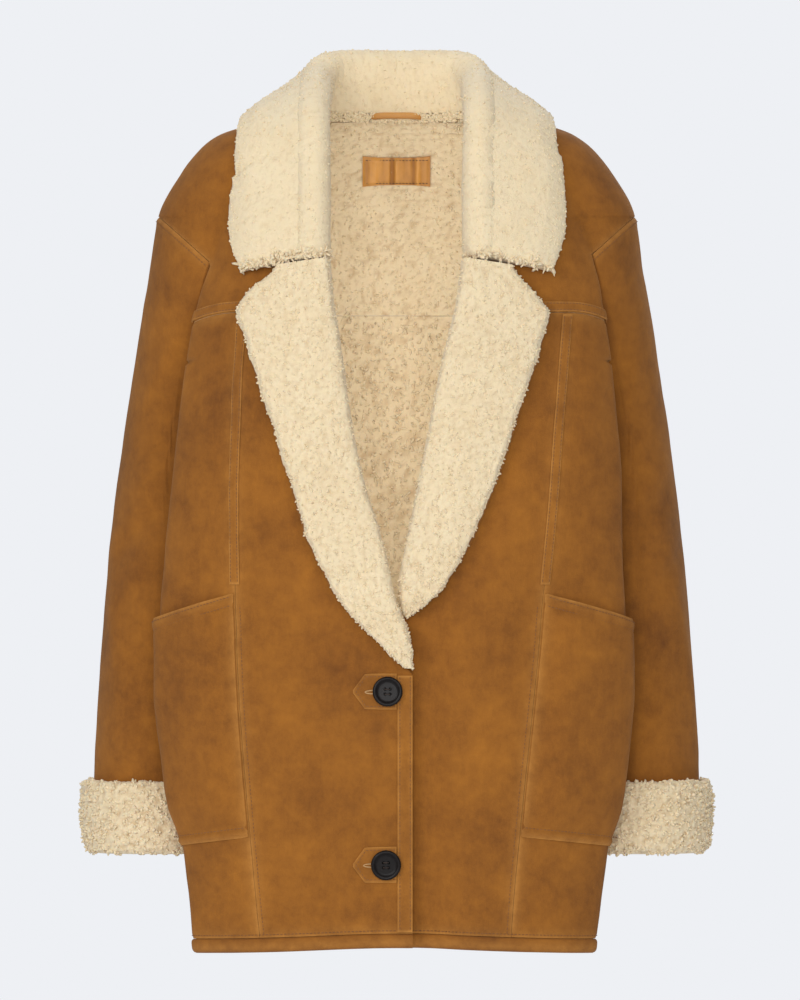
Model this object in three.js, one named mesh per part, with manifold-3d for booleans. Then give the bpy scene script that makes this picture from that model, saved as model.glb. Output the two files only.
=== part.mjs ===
// A hip-length shearling coat, filled out as it is when worn, with nobody in it.
// Sizes are in millimetres. x runs to the wearer's left, y to the back and z up.
// The origin is between the shoulders, where the yoke rests on whoever wears the coat.
// Every panel is one thickness of sheepskin, suede outside and wool inside.
import * as THREE from "three";
import { mergeVertices } from "three/addons/utils/BufferGeometryUtils.js";
import Module from "manifold-3d";

const wasm = await Module();
wasm.setup();

const wall = 9; // leather with its clipped wool
const collarWall = 13; // leather with the longer wool of the collar and cuffs
const seam = 0.4; // between two pieces sewn together
const stripThickness = 1.4;
const stripWidth = 9;
const pocketWall = 6;

const hemTop = -767;
const hemDroop = { depth: 7, start: -560 }; // how much lower the hem is at the sides than in front
const yokeSeam = -178;
const yokeTop = 12.6;
const gorge = -128; // the seam between collar and lapel, at the roll
const breakPoint = -519; // where the right front starts to turn back
const hiddenBreak = -470; // where the left lapel goes in behind the right front
const overlapEdge = 15.5; // the right front's edge, past the middle
const hiddenEdge = -38; // the left front's edge, under the right front
// How far the left front lies behind the right one and how much further its hem does, with the
// heights and widths over which it comes out from behind.
const tuck = { depth: wall + 1.2, hemDepth: 5, hemStart: -730, full: -455, none: -395, inner: 28, outer: 70 };

const squareness = 2.5; // of the body's level sections: 2 is an ellipse
const bodyReach = 150; // the radius at which the folds on the body and the arms are measured
const armReach = 60;
const shoulderSeam = { outer: 228, top: -85, slope: 0.9 };
const cuff = { top: -626, bottom: -692 };

const buttonRadius = 14.2;
const buttons = [
  { name: "upper", x: -8.5, z: -537 },
  { name: "lower", x: -10, z: -701 },
];

// Level sections of the body: the half width to each side of its front, the depth to front
// and back, and the half width further back, where the sleeves press the coat in.
const bodySections = [
  { z: -800, right: 213, left: 208, front: 111, back: 106, behind: 150 },
  { z: -679, right: 221, left: 218, front: 120, back: 112, behind: 157 },
  { z: -603, right: 233, left: 228, front: 126, back: 116, behind: 159 },
  { z: -537, right: 240, left: 234, front: 130, back: 118, behind: 160 },
  { z: -480, right: 241, left: 235, front: 131, back: 119, behind: 160 },
  { z: -413, right: 238, left: 231, front: 132, back: 120, behind: 159 },
  { z: -337, right: 229, left: 229, front: 132, back: 121, behind: 158 },
  { z: -261, right: 219, left: 222, front: 130, back: 122, behind: 157 },
  { z: -195, right: 208, left: 214, front: 124, back: 121, behind: 156 },
  { z: -126, right: 190, left: 201, front: 113, back: 116, behind: 153 },
  { z: -62, right: 173, left: 184, front: 97, back: 106, behind: 148 },
  { z: -24, right: 157, left: 167, front: 84, back: 95, behind: 139 },
  { z: 0, right: 134, left: 137, front: 72, back: 83, behind: 124 },
  { z: 8, right: 110, left: 111, front: 65, back: 77, behind: 104 },
  { z: 13, right: 90, left: 90, front: 60, back: 73, behind: 88 },
];

// Level sections of an arm, from the cuff up into the shoulder: its outer and inner edge,
// how far back its middle lies, and half its depth.
const armSections = [
  { z: -700, outer: 288, inner: 177, middle: 37, depth: 56 },
  { z: -625, outer: 287, inner: 175, middle: 39, depth: 60 },
  { z: -560, outer: 283, inner: 173, middle: 41, depth: 64 },
  { z: -500, outer: 278.5, inner: 171, middle: 42, depth: 67 },
  { z: -420, outer: 270, inner: 168, middle: 46, depth: 70 },
  { z: -340, outer: 260, inner: 164, middle: 50, depth: 71 },
  { z: -270, outer: 251, inner: 156.5, middle: 52, depth: 72 },
  { z: -200, outer: 244, inner: 135, middle: 42, depth: 76 },
  { z: -140, outer: 236.5, inner: 105, middle: 26, depth: 81 },
  { z: -85, outer: 228, inner: 75, middle: 18, depth: 77 },
  { z: -43, outer: 206, inner: 58, middle: 12, depth: 71 },
  { z: -24, outer: 191, inner: 52, middle: 10, depth: 65 },
  { z: -8, outer: 171, inner: 46, middle: 8, depth: 56 },
  { z: 0, outer: 151, inner: 42, middle: 7, depth: 49 },
  { z: 6, outer: 122, inner: 40, middle: 6, depth: 40 },
  { z: 10, outer: 100, inner: 38, middle: 6, depth: 33 },
  { z: 14, outer: 76, inner: 36, middle: 6, depth: 26 },
];

// The largest soft folds, as ridges on the body and the arms. angle is in degrees round the
// section from straight out to the side, and tilt is from upright.
const bodyFolds = [
  { side: -1, z: -400, angle: -27, tilt: 24, length: 90, width: 15, height: 3.5 },
  { side: -1, z: -330, angle: -34, tilt: 14, length: 80, width: 14, height: -2.5 },
  { side: -1, z: -650, angle: -50, tilt: -6, length: 120, width: 17, height: 3 },
  { side: 1, z: -300, angle: -30, tilt: -12, length: 110, width: 16, height: 3.5 },
  { side: 1, z: -420, angle: -50, tilt: -10, length: 120, width: 20, height: 3 },
  { side: 1, z: -650, angle: -36, tilt: 8, length: 110, width: 18, height: 3 },
  { side: -1, z: -480, angle: 58, tilt: 5, length: 230, width: 26, height: 5 },
  { side: 1, z: -440, angle: 64, tilt: -6, length: 250, width: 28, height: 6 },
  { side: 1, z: -560, angle: 40, tilt: 3, length: 160, width: 20, height: 4 },
];
const armFolds = [
  { side: -1, z: -330, angle: -75, tilt: 62, length: 40, width: 13, height: 3.5 },
  { side: -1, z: -395, angle: -50, tilt: 50, length: 45, width: 12, height: -3 },
  { side: -1, z: -470, angle: -35, tilt: -12, length: 120, width: 16, height: 3 },
  { side: 1, z: -350, angle: -70, tilt: -55, length: 42, width: 13, height: 3.5 },
  { side: 1, z: -430, angle: -45, tilt: -46, length: 46, width: 12, height: -3 },
  { side: 1, z: -500, angle: -30, tilt: 10, length: 120, width: 16, height: 3 },
  { side: -1, z: -380, angle: 80, tilt: 30, length: 60, width: 15, height: 4 },
  { side: 1, z: -370, angle: 85, tilt: -32, length: 60, width: 15, height: 4 },
];

// The line that each front turns back along, and the outer edge of its lapel.
const lapelLines = [
  { z: -519, rightRoll: 15, leftRoll: 15, rightEdge: 13, leftEdge: 15 },
  { z: -504, rightRoll: 14.6, leftRoll: 15, rightEdge: -6, leftEdge: 15 },
  { z: -490, rightRoll: 13.5, leftRoll: 14.5, rightEdge: -18, leftEdge: 15 },
  { z: -470, rightRoll: 7.5, leftRoll: 9, rightEdge: -38, leftEdge: 11 },
  { z: -456, rightRoll: 1.5, leftRoll: 3.4, rightEdge: -50, leftEdge: 27 },
  { z: -437, rightRoll: -4, leftRoll: 2.2, rightEdge: -63, leftEdge: 46 },
  { z: -413, rightRoll: -8.5, leftRoll: 5.5, rightEdge: -75, leftEdge: 60 },
  { z: -387, rightRoll: -15.5, leftRoll: 11, rightEdge: -86, leftEdge: 73 },
  { z: -337, rightRoll: -31, leftRoll: 21, rightEdge: -101, leftEdge: 94 },
  { z: -290, rightRoll: -41, leftRoll: 30, rightEdge: -115, leftEdge: 110 },
  { z: -242, rightRoll: -48, leftRoll: 39, rightEdge: -130, leftEdge: 126 },
  { z: -200, rightRoll: -54, leftRoll: 49, rightEdge: -143, leftEdge: 138 },
  { z: -180, rightRoll: -57.5, leftRoll: 54, rightEdge: -148, leftEdge: 142 },
  { z: -163, rightRoll: -60, leftRoll: 57.5, rightEdge: -139, leftEdge: 132 },
  { z: -136, rightRoll: -63, leftRoll: 61.5, rightEdge: -113, leftEdge: 109 },
  { z: -110, rightRoll: -64, leftRoll: 63, rightEdge: -113, leftEdge: 109 },
  { z: -62, rightRoll: -63, leftRoll: 62.5, rightEdge: -113, leftEdge: 109 },
  { z: -30, rightRoll: -64.5, leftRoll: 64, rightEdge: -113, leftEdge: 109 },
  { z: -12, rightRoll: -69, leftRoll: 69, rightEdge: -113, leftEdge: 109 },
  { z: 0, rightRoll: -73, leftRoll: 73, rightEdge: -113, leftEdge: 109 },
  { z: 13, rightRoll: -74, leftRoll: 74, rightEdge: -113, leftEdge: 109 },
];

// The seam from the yoke to the hem between a front's middle and side pieces.
const sideFrontSeam = [
  { z: -800, right: -126, left: 107 },
  { z: -736, right: -133, left: 111 },
  { z: -641, right: -142, left: 120 },
  { z: -546, right: -149, left: 130 },
  { z: -451, right: -153, left: 139 },
  { z: -356, right: -154, left: 148 },
  { z: -261, right: -151, left: 155 },
  { z: -178, right: -146, left: 162 },
];

// The slanted mouth and the foot of a pocket, at its inner and outer end.
const pocket = { innerMouth: -444, outerMouth: -477, innerFoot: -673, outerFoot: -683 };

// The collar from the middle of the back (0) to its front end (1): how high its neck seam
// lies, the top of the fold and the loose outer edge, the lean of the stand in degrees from
// upright, and how far the fall bulges between fold and edge.
const collarStations = [
  { at: 0, neckZ: 12.6, foldX: 0, foldY: 87, foldZ: 63, edgeX: 0, edgeY: 118, edgeZ: -42, lean: 0, bulge: 7 },
  { at: 0.13, neckZ: 12.6, foldX: 37, foldY: 83, foldZ: 63, edgeX: 70, edgeY: 110, edgeZ: -41, lean: 0, bulge: 7 },
  { at: 0.26, neckZ: 12.6, foldX: 65, foldY: 65, foldZ: 57, edgeX: 118, edgeY: 84, edgeZ: -28, lean: 0, bulge: 4 },
  { at: 0.38, neckZ: 12.6, foldX: 76, foldY: 36, foldZ: 45, edgeX: 142, edgeY: 46, edgeZ: -9, lean: 4, bulge: 1 },
  { at: 0.5, neckZ: 12.6, foldX: 78, foldY: -14, foldZ: 39, edgeX: 152, edgeY: -2, edgeZ: -6, lean: 14, bulge: -1 },
  { at: 0.6, neckZ: 8, foldX: 79, foldY: -50, foldZ: 25, edgeX: 156, edgeY: -36, edgeZ: -18, lean: 34, bulge: 0 },
  { at: 0.7, neckZ: -6, foldX: 80, foldY: -77, foldZ: 3, edgeX: 158, edgeY: -50, edgeZ: -42, lean: 58, bulge: 2 },
  { at: 0.8, neckZ: -38, foldX: 79.5, foldY: -92, foldZ: -34, edgeX: 158, edgeY: -58, edgeZ: -76, lean: 76, bulge: 1 },
  { at: 0.9, neckZ: -82, foldX: 79.5, foldY: -106, foldZ: -81, edgeX: 157, edgeY: -64, edgeZ: -108, lean: 86, bulge: 0 },
  { at: 1, neckZ: -128, foldX: 81, foldY: -114, foldZ: -128, edgeX: 149, edgeY: -80, edgeZ: -143, lean: 90, bulge: 0 },
];

const mix = (a, b, t) => a + (b - a) * t;
const radians = THREE.MathUtils.degToRad;
const sideName = (side) => (side > 0 ? "left" : "right");
const steps = (count, from, to) =>
  Array.from({ length: count }, (_, i) => mix(from, to, i / (count - 1)));

function smoothStep(low, high, value) {
  const t = Math.min(1, Math.max(0, (value - low) / (high - low)));
  return t * t * (3 - 2 * t);
}

// A column of a table at a place between its rows, on a curve that never overshoots them.
function valueAt(table, key, column, place) {
  const last = table.length - 1;
  const at = Math.min(Math.max(place, table[0][key]), table[last][key]);
  let i = 0;
  while (i < last - 1 && table[i + 1][key] < at) i += 1;
  const rise = (j) => {
    const run = table[j + 1][key] - table[j][key];
    return (table[j + 1][column] - table[j][column]) / run;
  };
  const slope = (j) => {
    if (j === 0) return rise(0);
    if (j === last) return rise(last - 1);
    const [before, after] = [rise(j - 1), rise(j)];
    return before * after <= 0 ? 0 : (2 * before * after) / (before + after);
  };
  const run = table[i + 1][key] - table[i][key];
  const t = (at - table[i][key]) / run;
  const [from, to] = [table[i][column], table[i + 1][column]];
  const bend = t * (1 - t) * run * ((1 - t) * slope(i) - t * slope(i + 1));
  return mix(from, to, t * t * (3 - 2 * t)) + bend;
}

// How far the folds lift a surface at a place. reach is the length of a radian round it.
function foldLift(folds, z, angle, side, reach) {
  let lift = 0;
  for (const fold of folds) {
    if (fold.side !== side) continue;
    const around = (angle - radians(fold.angle)) * reach;
    const [sine, cosine] = [Math.sin(radians(fold.tilt)), Math.cos(radians(fold.tilt))];
    const across = (around * cosine + (z - fold.z) * sine) / fold.width;
    const along = ((z - fold.z) * cosine - around * sine) / fold.length;
    lift += fold.height * Math.exp(-across * across - along * along);
  }
  return lift;
}

// Where a level section of the body lies at an angle from straight out to its side (0):
// the front is at -90 degrees and the back at 90. side is 1 for the wearer's left, -1 for right.
function bodyPoint(z, angle, side) {
  const out = Math.cos(angle);
  const rear = Math.sin(angle);
  const width = valueAt(bodySections, "z", side * out > 0 ? "left" : "right", z);
  const behind = valueAt(bodySections, "z", "behind", z);
  const halfWidth = mix(width, behind, smoothStep(-0.3, 0, rear));
  const front = valueAt(bodySections, "z", "front", z);
  const depth = mix(front, valueAt(bodySections, "z", "back", z), smoothStep(-0.2, 0.2, rear));
  const across = Math.pow(Math.abs(out) / halfWidth, squareness);
  const deep = Math.pow(Math.abs(rear) / depth, squareness);
  const radius = Math.pow(across + deep, -1 / squareness) + foldLift(bodyFolds, z, angle, side, bodyReach);
  const droop = hemDroop.depth * smoothStep(hemDroop.start, hemTop, z) * out * out;
  return new THREE.Vector3(side * radius * out, radius * rear, z - droop);
}

function armShape(z) {
  const outer = valueAt(armSections, "z", "outer", z);
  const inner = valueAt(armSections, "z", "inner", z);
  return {
    centre: (outer + inner) / 2,
    half: (outer - inner) / 2,
    middle: valueAt(armSections, "z", "middle", z),
    depth: valueAt(armSections, "z", "depth", z),
  };
}

// A level section of an arm: angle 0 is its outermost point, -90 degrees its front.
function armPoint(z, angle, side) {
  const arm = armShape(z);
  const lift = foldLift(armFolds, z, angle, side, armReach);
  const x = arm.centre + (arm.half + lift) * Math.cos(angle);
  return new THREE.Vector3(side * x, arm.middle + (arm.depth + lift) * Math.sin(angle), z);
}

// A point on a surface with the way its outside faces there.
function onSurface(surface, z, angle, side) {
  const step = { z: 0.5, angle: 0.004 };
  const along = surface(z, angle + step.angle, side).sub(surface(z, angle - step.angle, side));
  const up = surface(z + step.z, angle, side).sub(surface(z - step.z, angle, side));
  const normal = along.cross(up).normalize().multiplyScalar(side);
  return { point: surface(z, angle, side), normal };
}

// Less than 0 inside an arm.
function armField(point, z, side) {
  const arm = armShape(z);
  const x = (side * point.x - arm.centre) / arm.half;
  const y = (point.y - arm.middle) / arm.depth;
  return x * x + y * y - 1;
}

// More than 0 inside the body.
function bodyField(point, z, side) {
  const angle = Math.atan2(point.y, side * point.x);
  const edge = bodyPoint(z, angle, side);
  return Math.hypot(edge.x, edge.y) - Math.hypot(point.x, point.y);
}

// The place between two others where a value changes sign.
function crossing(value, from, to) {
  const below = value(from) < 0;
  let [a, b] = [from, to];
  for (let i = 0; i < 36; i += 1) {
    const middle = (a + b) / 2;
    if (value(middle) < 0 === below) a = middle;
    else b = middle;
  }
  return (a + b) / 2;
}

// The angle at which the body comes nearest to the arm, or reaches deepest into it.
function deepestAngle(z, side) {
  let best = { angle: 0, field: Infinity };
  for (let angle = -0.6; angle <= 1; angle += 0.01) {
    const field = armField(bodyPoint(z, angle, side), z, side);
    if (field < best.field) best = { angle, field };
  }
  return best;
}

// The underarm: the height and the body's angle where the sleeve and the body part.
const underarms = new Map(
  [-1, 1].map((side) => {
    const z = crossing((at) => deepestAngle(at, side).field, -300, -200);
    return [side, { z, angle: deepestAngle(z, side).angle }];
  }),
);

// The body's angle at the armhole, in front (way -1) or behind (way 1). Below the underarm it
// is the side seam's, and above the arm's top the shoulder seam's.
function sideLimit(z, side, way) {
  if (z <= underarms.get(side).z) return underarms.get(side).angle;
  const deepest = deepestAngle(z, side);
  if (deepest.field >= 0) return 0;
  return crossing((angle) => armField(bodyPoint(z, angle, side), z, side), deepest.angle, way * 1.5);
}

// The arm's angles from the crease that it makes with the body to the armhole seam, which
// crosses the shoulder on a slant, or to the shoulder seam above that.
function armLimits(z, side, way) {
  const arm = armShape(z);
  const crease = bodyPoint(z, sideLimit(z, side, way), side);
  const turn = Math.atan2((crease.y - arm.middle) / arm.depth, (side * crease.x - arm.centre) / arm.half);
  const from = way * turn > 0 ? turn : turn + way * Math.PI * 2;
  if (z >= shoulderSeam.top) return { from, to: 0 };
  const reach = shoulderSeam.outer - (shoulderSeam.top - z) / shoulderSeam.slope;
  const slanted = Math.acos(Math.min(1, Math.max(-1, (reach - arm.centre) / arm.half)));
  return { from, to: way * Math.min(slanted, Math.abs(from)) };
}

// The body's angle in front, or behind, where a section reaches an x.
function angleAt(z, x, side) {
  return crossing((angle) => side * (bodyPoint(z, angle, side).x - x), -2.4, -0.05);
}

function angleBehind(z, x, side) {
  return crossing((angle) => side * (bodyPoint(z, angle, side).x - x), 0.05, 2.4);
}

const fineSteps = { body: 48, arm: 32 }; // places that a row is first worked out at
const bodyRow = (z, from, to, side) =>
  steps(fineSteps.body, from, to).map((angle) => onSurface(bodyPoint, z, angle, side));
const armRow = (z, from, to, side) =>
  steps(fineSteps.arm, from, to).map((angle) => onSurface(armPoint, z, angle, side));

// Spreads a row's places evenly along it, and keeps clear of each end by the given lengths.
function evenRow(places, count, clear = [seam / 2, seam]) {
  const lengths = [0];
  for (let i = 1; i < places.length; i += 1) {
    lengths.push(lengths[i - 1] + places[i].point.distanceTo(places[i - 1].point));
  }
  const whole = lengths[lengths.length - 1];
  let i = 0;
  return steps(count, clear[0], whole - clear[1]).map((length) => {
    while (i < places.length - 2 && lengths[i + 1] < length) i += 1;
    const t = (length - lengths[i]) / (lengths[i + 1] - lengths[i]);
    return {
      point: places[i].point.clone().lerp(places[i + 1].point, t),
      normal: places[i].normal.clone().lerp(places[i + 1].normal, t).normalize(),
    };
  });
}

function signedVolume(positions, index) {
  const [a, b, c] = [new THREE.Vector3(), new THREE.Vector3(), new THREE.Vector3()];
  let six = 0;
  for (let i = 0; i < index.length; i += 3) {
    a.fromArray(positions, index[i] * 3);
    b.fromArray(positions, index[i + 1] * 3);
    c.fromArray(positions, index[i + 2] * 3);
    six += a.dot(b.cross(c));
  }
  return six / 6;
}

function solidOf(points, index) {
  const positions = points.flatMap((p) => [p.x, p.y, p.z]);
  const geometry = new THREE.BufferGeometry();
  geometry.setAttribute("position", new THREE.Float32BufferAttribute(positions, 3));
  geometry.setIndex(signedVolume(positions, index) < 0 ? index.reverse() : index);
  geometry.computeVertexNormals();
  return geometry;
}

// A closed solid from two grids of points, the outer and the inner face of a piece.
function closedSheet(outer, inner) {
  const rows = outer.length - 1;
  const columns = outer[0].length - 1;
  const size = outer.length * outer[0].length;
  const index = [];
  const at = (face, row, column) => face * size + row * (columns + 1) + column;
  const quad = (a, b, c, d) => index.push(a, b, c, a, c, d);
  for (let r = 0; r < rows; r += 1) {
    for (let c = 0; c < columns; c += 1) {
      quad(at(0, r, c), at(0, r, c + 1), at(0, r + 1, c + 1), at(0, r + 1, c));
      quad(at(1, r, c), at(1, r + 1, c), at(1, r + 1, c + 1), at(1, r, c + 1));
    }
    quad(at(0, r, 0), at(0, r + 1, 0), at(1, r + 1, 0), at(1, r, 0));
    quad(at(0, r, columns), at(1, r, columns), at(1, r + 1, columns), at(0, r + 1, columns));
  }
  for (let c = 0; c < columns; c += 1) {
    quad(at(0, 0, c), at(1, 0, c), at(1, 0, c + 1), at(0, 0, c + 1));
    quad(at(0, rows, c), at(0, rows, c + 1), at(1, rows, c + 1), at(1, rows, c));
  }
  return solidOf([...outer.flat(), ...inner.flat()], index);
}

// A closed ring from rings of points, one for each corner of its section.
function closedRing(rings) {
  const around = rings[0].length;
  const index = [];
  const at = (ring, step) => (ring % rings.length) * around + (step % around);
  for (let r = 0; r < rings.length; r += 1) {
    for (let s = 0; s < around; s += 1) {
      index.push(at(r, s), at(r, s + 1), at(r + 1, s + 1), at(r, s), at(r + 1, s + 1), at(r + 1, s));
    }
  }
  return solidOf(rings.flat(), index);
}

const lifted = (place, lift) => place.point.clone().addScaledVector(place.normal, lift);

// A piece from rows of places. Its outer face is moved out by lift, and its inner face lies a
// thickness further in. Each may be a number, or a function of the row's number.
function panel(rows, thickness = wall, lift = 0) {
  const read = (value, r) => (typeof value === "function" ? value(r) : value);
  const face = (inward) =>
    rows.map((row, r) => row.map((place) => lifted(place, read(lift, r) - inward * read(thickness, r))));
  return closedSheet(face(0), face(1));
}

const suede = new THREE.MeshStandardMaterial({ color: 0x96602a, roughness: 0.92, metalness: 0 });
const suedeEdge = new THREE.MeshStandardMaterial({ color: 0xa8713a, roughness: 0.85, metalness: 0 });
const fleece = new THREE.MeshStandardMaterial({ color: 0xe8d6b0, roughness: 1, metalness: 0 });
const horn = new THREE.MeshStandardMaterial({ color: 0x241d1a, roughness: 0.3, metalness: 0 });
const tanLeather = new THREE.MeshStandardMaterial({ color: 0xb8853f, roughness: 0.5, metalness: 0 });

const coat = new THREE.Group();

function addPiece(name, geometry, material) {
  const mesh = new THREE.Mesh(geometry, material);
  mesh.name = name;
  coat.add(mesh);
  return mesh;
}

// The lines on a front

const seamX = (z, side) => valueAt(sideFrontSeam, "z", sideName(side), z);
const rollX = (z, side) => valueAt(lapelLines, "z", sideName(side) + "Roll", z);
const lapelEdgeX = (z, side) => valueAt(lapelLines, "z", sideName(side) + "Edge", z);

// The wool that turns round the front's own edge at the roll: as thick as the collar's, and
// thinner where the lapel narrows to nothing.
function rollThickness(z, side) {
  const width = side * (lapelEdgeX(z, side) - rollX(z, side));
  return Math.min(collarWall, 0.6 * width);
}

// The x of a front's own edge: straight below the break, then behind the roll. The left one
// comes across between two heights, where the right front hides it.
const hiddenTurn = { start: -500, end: -450 };
function frontEdge(z, side) {
  const straight = side < 0 ? overlapEdge : hiddenEdge;
  if (z <= breakPoint) return straight;
  if (side < 0) return rollX(z, side) - rollThickness(z, side) - seam;
  return mix(straight, rollX(z, side) + collarWall + seam, smoothStep(hiddenTurn.start, hiddenTurn.end, z));
}

// The left front lies behind the right one where they overlap.
function tuckedIn(place, side) {
  if (side < 0) return place;
  const { x, z } = place.point;
  const depth = tuck.depth + tuck.hemDepth * smoothStep(tuck.hemStart, hemTop, z);
  const shift = depth * smoothStep(tuck.none, tuck.full, z) * smoothStep(tuck.outer, tuck.inner, x);
  return { point: place.point.clone().setY(place.point.y + shift), normal: place.normal };
}

// Fronts, side pieces, back and their hems

const creaseRises = [0, 3, 9, 18, 27, 38, 56];
const creaseHeights = (side) => creaseRises.map((rise) => underarms.get(side).z + rise);
const straightHeights = [hemTop + seam, -725, -675, -620, -565, breakPoint];
const turningHeights = [breakPoint + 4, -502, -486, -470, -452, -430, -385, -320];

function panelHeights(side) {
  return [...straightHeights, ...turningHeights, ...creaseHeights(side), yokeSeam - seam / 2];
}

// A front's middle piece doesn't reach the armhole, so it has fewer rows there.
function turnedHeights(side) {
  return [...turningHeights, ...creaseHeights(side).filter((z, i) => i % 4 === 0), yokeSeam - seam / 2];
}

function middleFront(z, side) {
  const row = bodyRow(z, angleAt(z, frontEdge(z, side), side), angleAt(z, seamX(z, side), side), side);
  return evenRow(row.map((place) => tuckedIn(place, side)), 9, [0, seam / 2]);
}

function sideFront(z, side) {
  const row = bodyRow(z, angleAt(z, seamX(z, side), side), sideLimit(z, side, -1), side);
  return evenRow(row, 12, [seam / 2, 2.5 * seam]);
}

// A row right across the back, from the wearer's right to the left.
function backRow(z, count) {
  const right = bodyRow(z, sideLimit(z, -1, 1), Math.PI / 2, -1);
  const left = bodyRow(z, Math.PI / 2, sideLimit(z, 1, 1), 1);
  return evenRow([...right, ...left.slice(1)], count, [seam, seam]);
}

const backColumns = 17;
for (const side of [-1, 1]) {
  const middle = [...straightHeights, ...turnedHeights(side)].map((z) => middleFront(z, side));
  addPiece("front_" + sideName(side), panel(middle), suede);
  addPiece("side_front_" + sideName(side), panel(panelHeights(side).map((z) => sideFront(z, side))), suede);
}
addPiece("back", panel(panelHeights(1).map((z) => backRow(z, backColumns))), suede);

// The hem: a rolled edge that stands a little proud of the panels above it.
const hemRolls = [
  { z: hemTop, lift: 0.5, depth: 9 },
  { z: hemTop - 4, lift: 2.6, depth: 12 },
  { z: hemTop - 9, lift: 3, depth: 12.5 },
  { z: hemTop - 13, lift: 1.2, depth: 10 },
];

function hem(rowAt) {
  const rows = hemRolls.map((roll) => rowAt(roll.z));
  return panel(rows, (r) => hemRolls[r].depth, (r) => hemRolls[r].lift);
}

function frontHemRow(z, side) {
  const row = bodyRow(z, angleAt(z, frontEdge(z, side), side), sideLimit(z, side, -1), side);
  return evenRow(row.map((place) => tuckedIn(place, side)), 16, [0, seam]);
}

for (const side of [-1, 1]) {
  addPiece("hem_front_" + sideName(side), hem((z) => frontHemRow(z, side)), suede);
}
addPiece("hem_back", hem((z) => backRow(z, backColumns)), suede);

// The yokes, over the shoulders

const lowYokeHeights = [-169, -160, -151, -142, -126, -108, -99, -87.5];
const highYokeHeights = [shoulderSeam.top, -64, -44, -26, -12, 0, 7, 10.5];
const yokeRows = [yokeSeam + seam / 2, ...lowYokeHeights, ...highYokeHeights, yokeTop];

// Half a yoke row: along the body to the crease of the arm, then out over the shoulder.
function shoulderRow(z, from, side, way) {
  const limits = armLimits(z, side, way);
  const along = bodyRow(z, from, sideLimit(z, side, way), side);
  const hasArm = deepestAngle(z, side).field < 0 && Math.abs(limits.to - limits.from) > 0.01;
  return hasArm ? [...along, ...armRow(z, limits.from, limits.to, side).slice(1)] : along;
}

function frontYokeRow(z, side) {
  return shoulderRow(z, angleAt(z, frontEdge(z, side), side), side, -1);
}

function backYokeRow(z) {
  const right = shoulderRow(z, Math.PI / 2, -1, 1).reverse();
  return [...right, ...shoulderRow(z, Math.PI / 2, 1, 1).slice(1)];
}

for (const side of [-1, 1]) {
  const rows = yokeRows.map((z) => evenRow(frontYokeRow(z, side), 12, [0, seam]));
  addPiece("front_yoke_" + sideName(side), panel(rows), suede);
}
addPiece("back_yoke", panel(yokeRows.map((z) => evenRow(backYokeRow(z), 21, [seam, seam]))), suede);

// Sleeves and turned-back cuffs

// The height at which a line up the sleeve meets the body or the seam across the shoulder.
function sleeveTop(angle, side) {
  const past = (z) => {
    const point = armPoint(z, angle, side);
    const across = shoulderSeam.top - (shoulderSeam.outer - Math.abs(point.x)) * shoulderSeam.slope;
    return Math.max(bodyField(point, z, side), z - across);
  };
  let z = -310;
  while (past(z) < 0) z += 2;
  return crossing(past, z - 2, z);
}

const sleeveEnd = cuff.bottom + 6;
const widestStep = 0.45; // radians between two lines up a sleeve

// The lines up a sleeve, as angles with their heights at the armhole. They end where the rows
// of the panels do, so that the two edges match, and start and end at the underarm seam.
function sleeveLines(side) {
  const heights = [...creaseHeights(side).slice(1), yokeSeam, ...lowYokeHeights];
  const front = heights.map((z) => ({ z, angle: armLimits(z, side, -1).to }));
  const back = heights.map((z) => ({ z, angle: armLimits(z, side, 1).to }));
  const start = armLimits(underarms.get(side).z + 0.02, side, -1).from;
  const slit = 0.004;
  const ends = [start + slit, start + Math.PI * 2 - slit].map((angle) => ({ z: underarms.get(side).z, angle }));
  const top = { z: shoulderSeam.top, angle: 0 };
  const lines = [ends[0], ...front, top, ...back.reverse(), ends[1]];
  const filled = [lines[0]];
  for (const line of lines.slice(1)) {
    const last = filled[filled.length - 1];
    const gap = line.angle - last.angle;
    if (gap < 0.02) continue;
    const extra = Math.floor(gap / widestStep);
    for (let i = 1; i <= extra; i += 1) {
      const angle = last.angle + (gap * i) / (extra + 1);
      filled.push({ z: sleeveTop(angle, side), angle });
    }
    filled.push(line);
  }
  return filled;
}

function sleeve(side) {
  const levels = [0, 0.15, 0.3, 0.44, 0.57, 0.69, 0.8, 0.9, 1];
  const lines = sleeveLines(side);
  return levels.map((level) =>
    lines.map((line) => onSurface(armPoint, mix(sleeveEnd, line.z - seam, level), line.angle, side)),
  );
}

// The cuff's section, turned up outside the sleeve, as distances out from the sleeve and up.
const cuffSection = [
  { out: seam, z: cuff.top },
  { out: 9, z: cuff.top + 1 },
  { out: 11.5, z: cuff.top - 6 },
  { out: 12.5, z: cuff.bottom + 16 },
  { out: 9.5, z: cuff.bottom + 3 },
  { out: 1, z: cuff.bottom - 1.5 },
  { out: -wall, z: cuff.bottom + 1 },
  { out: -wall, z: sleeveEnd - seam },
  { out: seam, z: sleeveEnd - seam },
];

function cuffRings(side) {
  const angles = sleeveLines(side).slice(1).map((line) => line.angle);
  return cuffSection.map(({ out, z }) => angles.map((a) => lifted(onSurface(armPoint, z, a, side), out)));
}

for (const side of [-1, 1]) {
  addPiece("sleeve_" + sideName(side), panel(sleeve(side)), suede);
  addPiece("cuff_" + sideName(side), closedRing(cuffRings(side)), fleece);
}

// Pockets: a second layer on the side piece, with a slanted mouth

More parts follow.
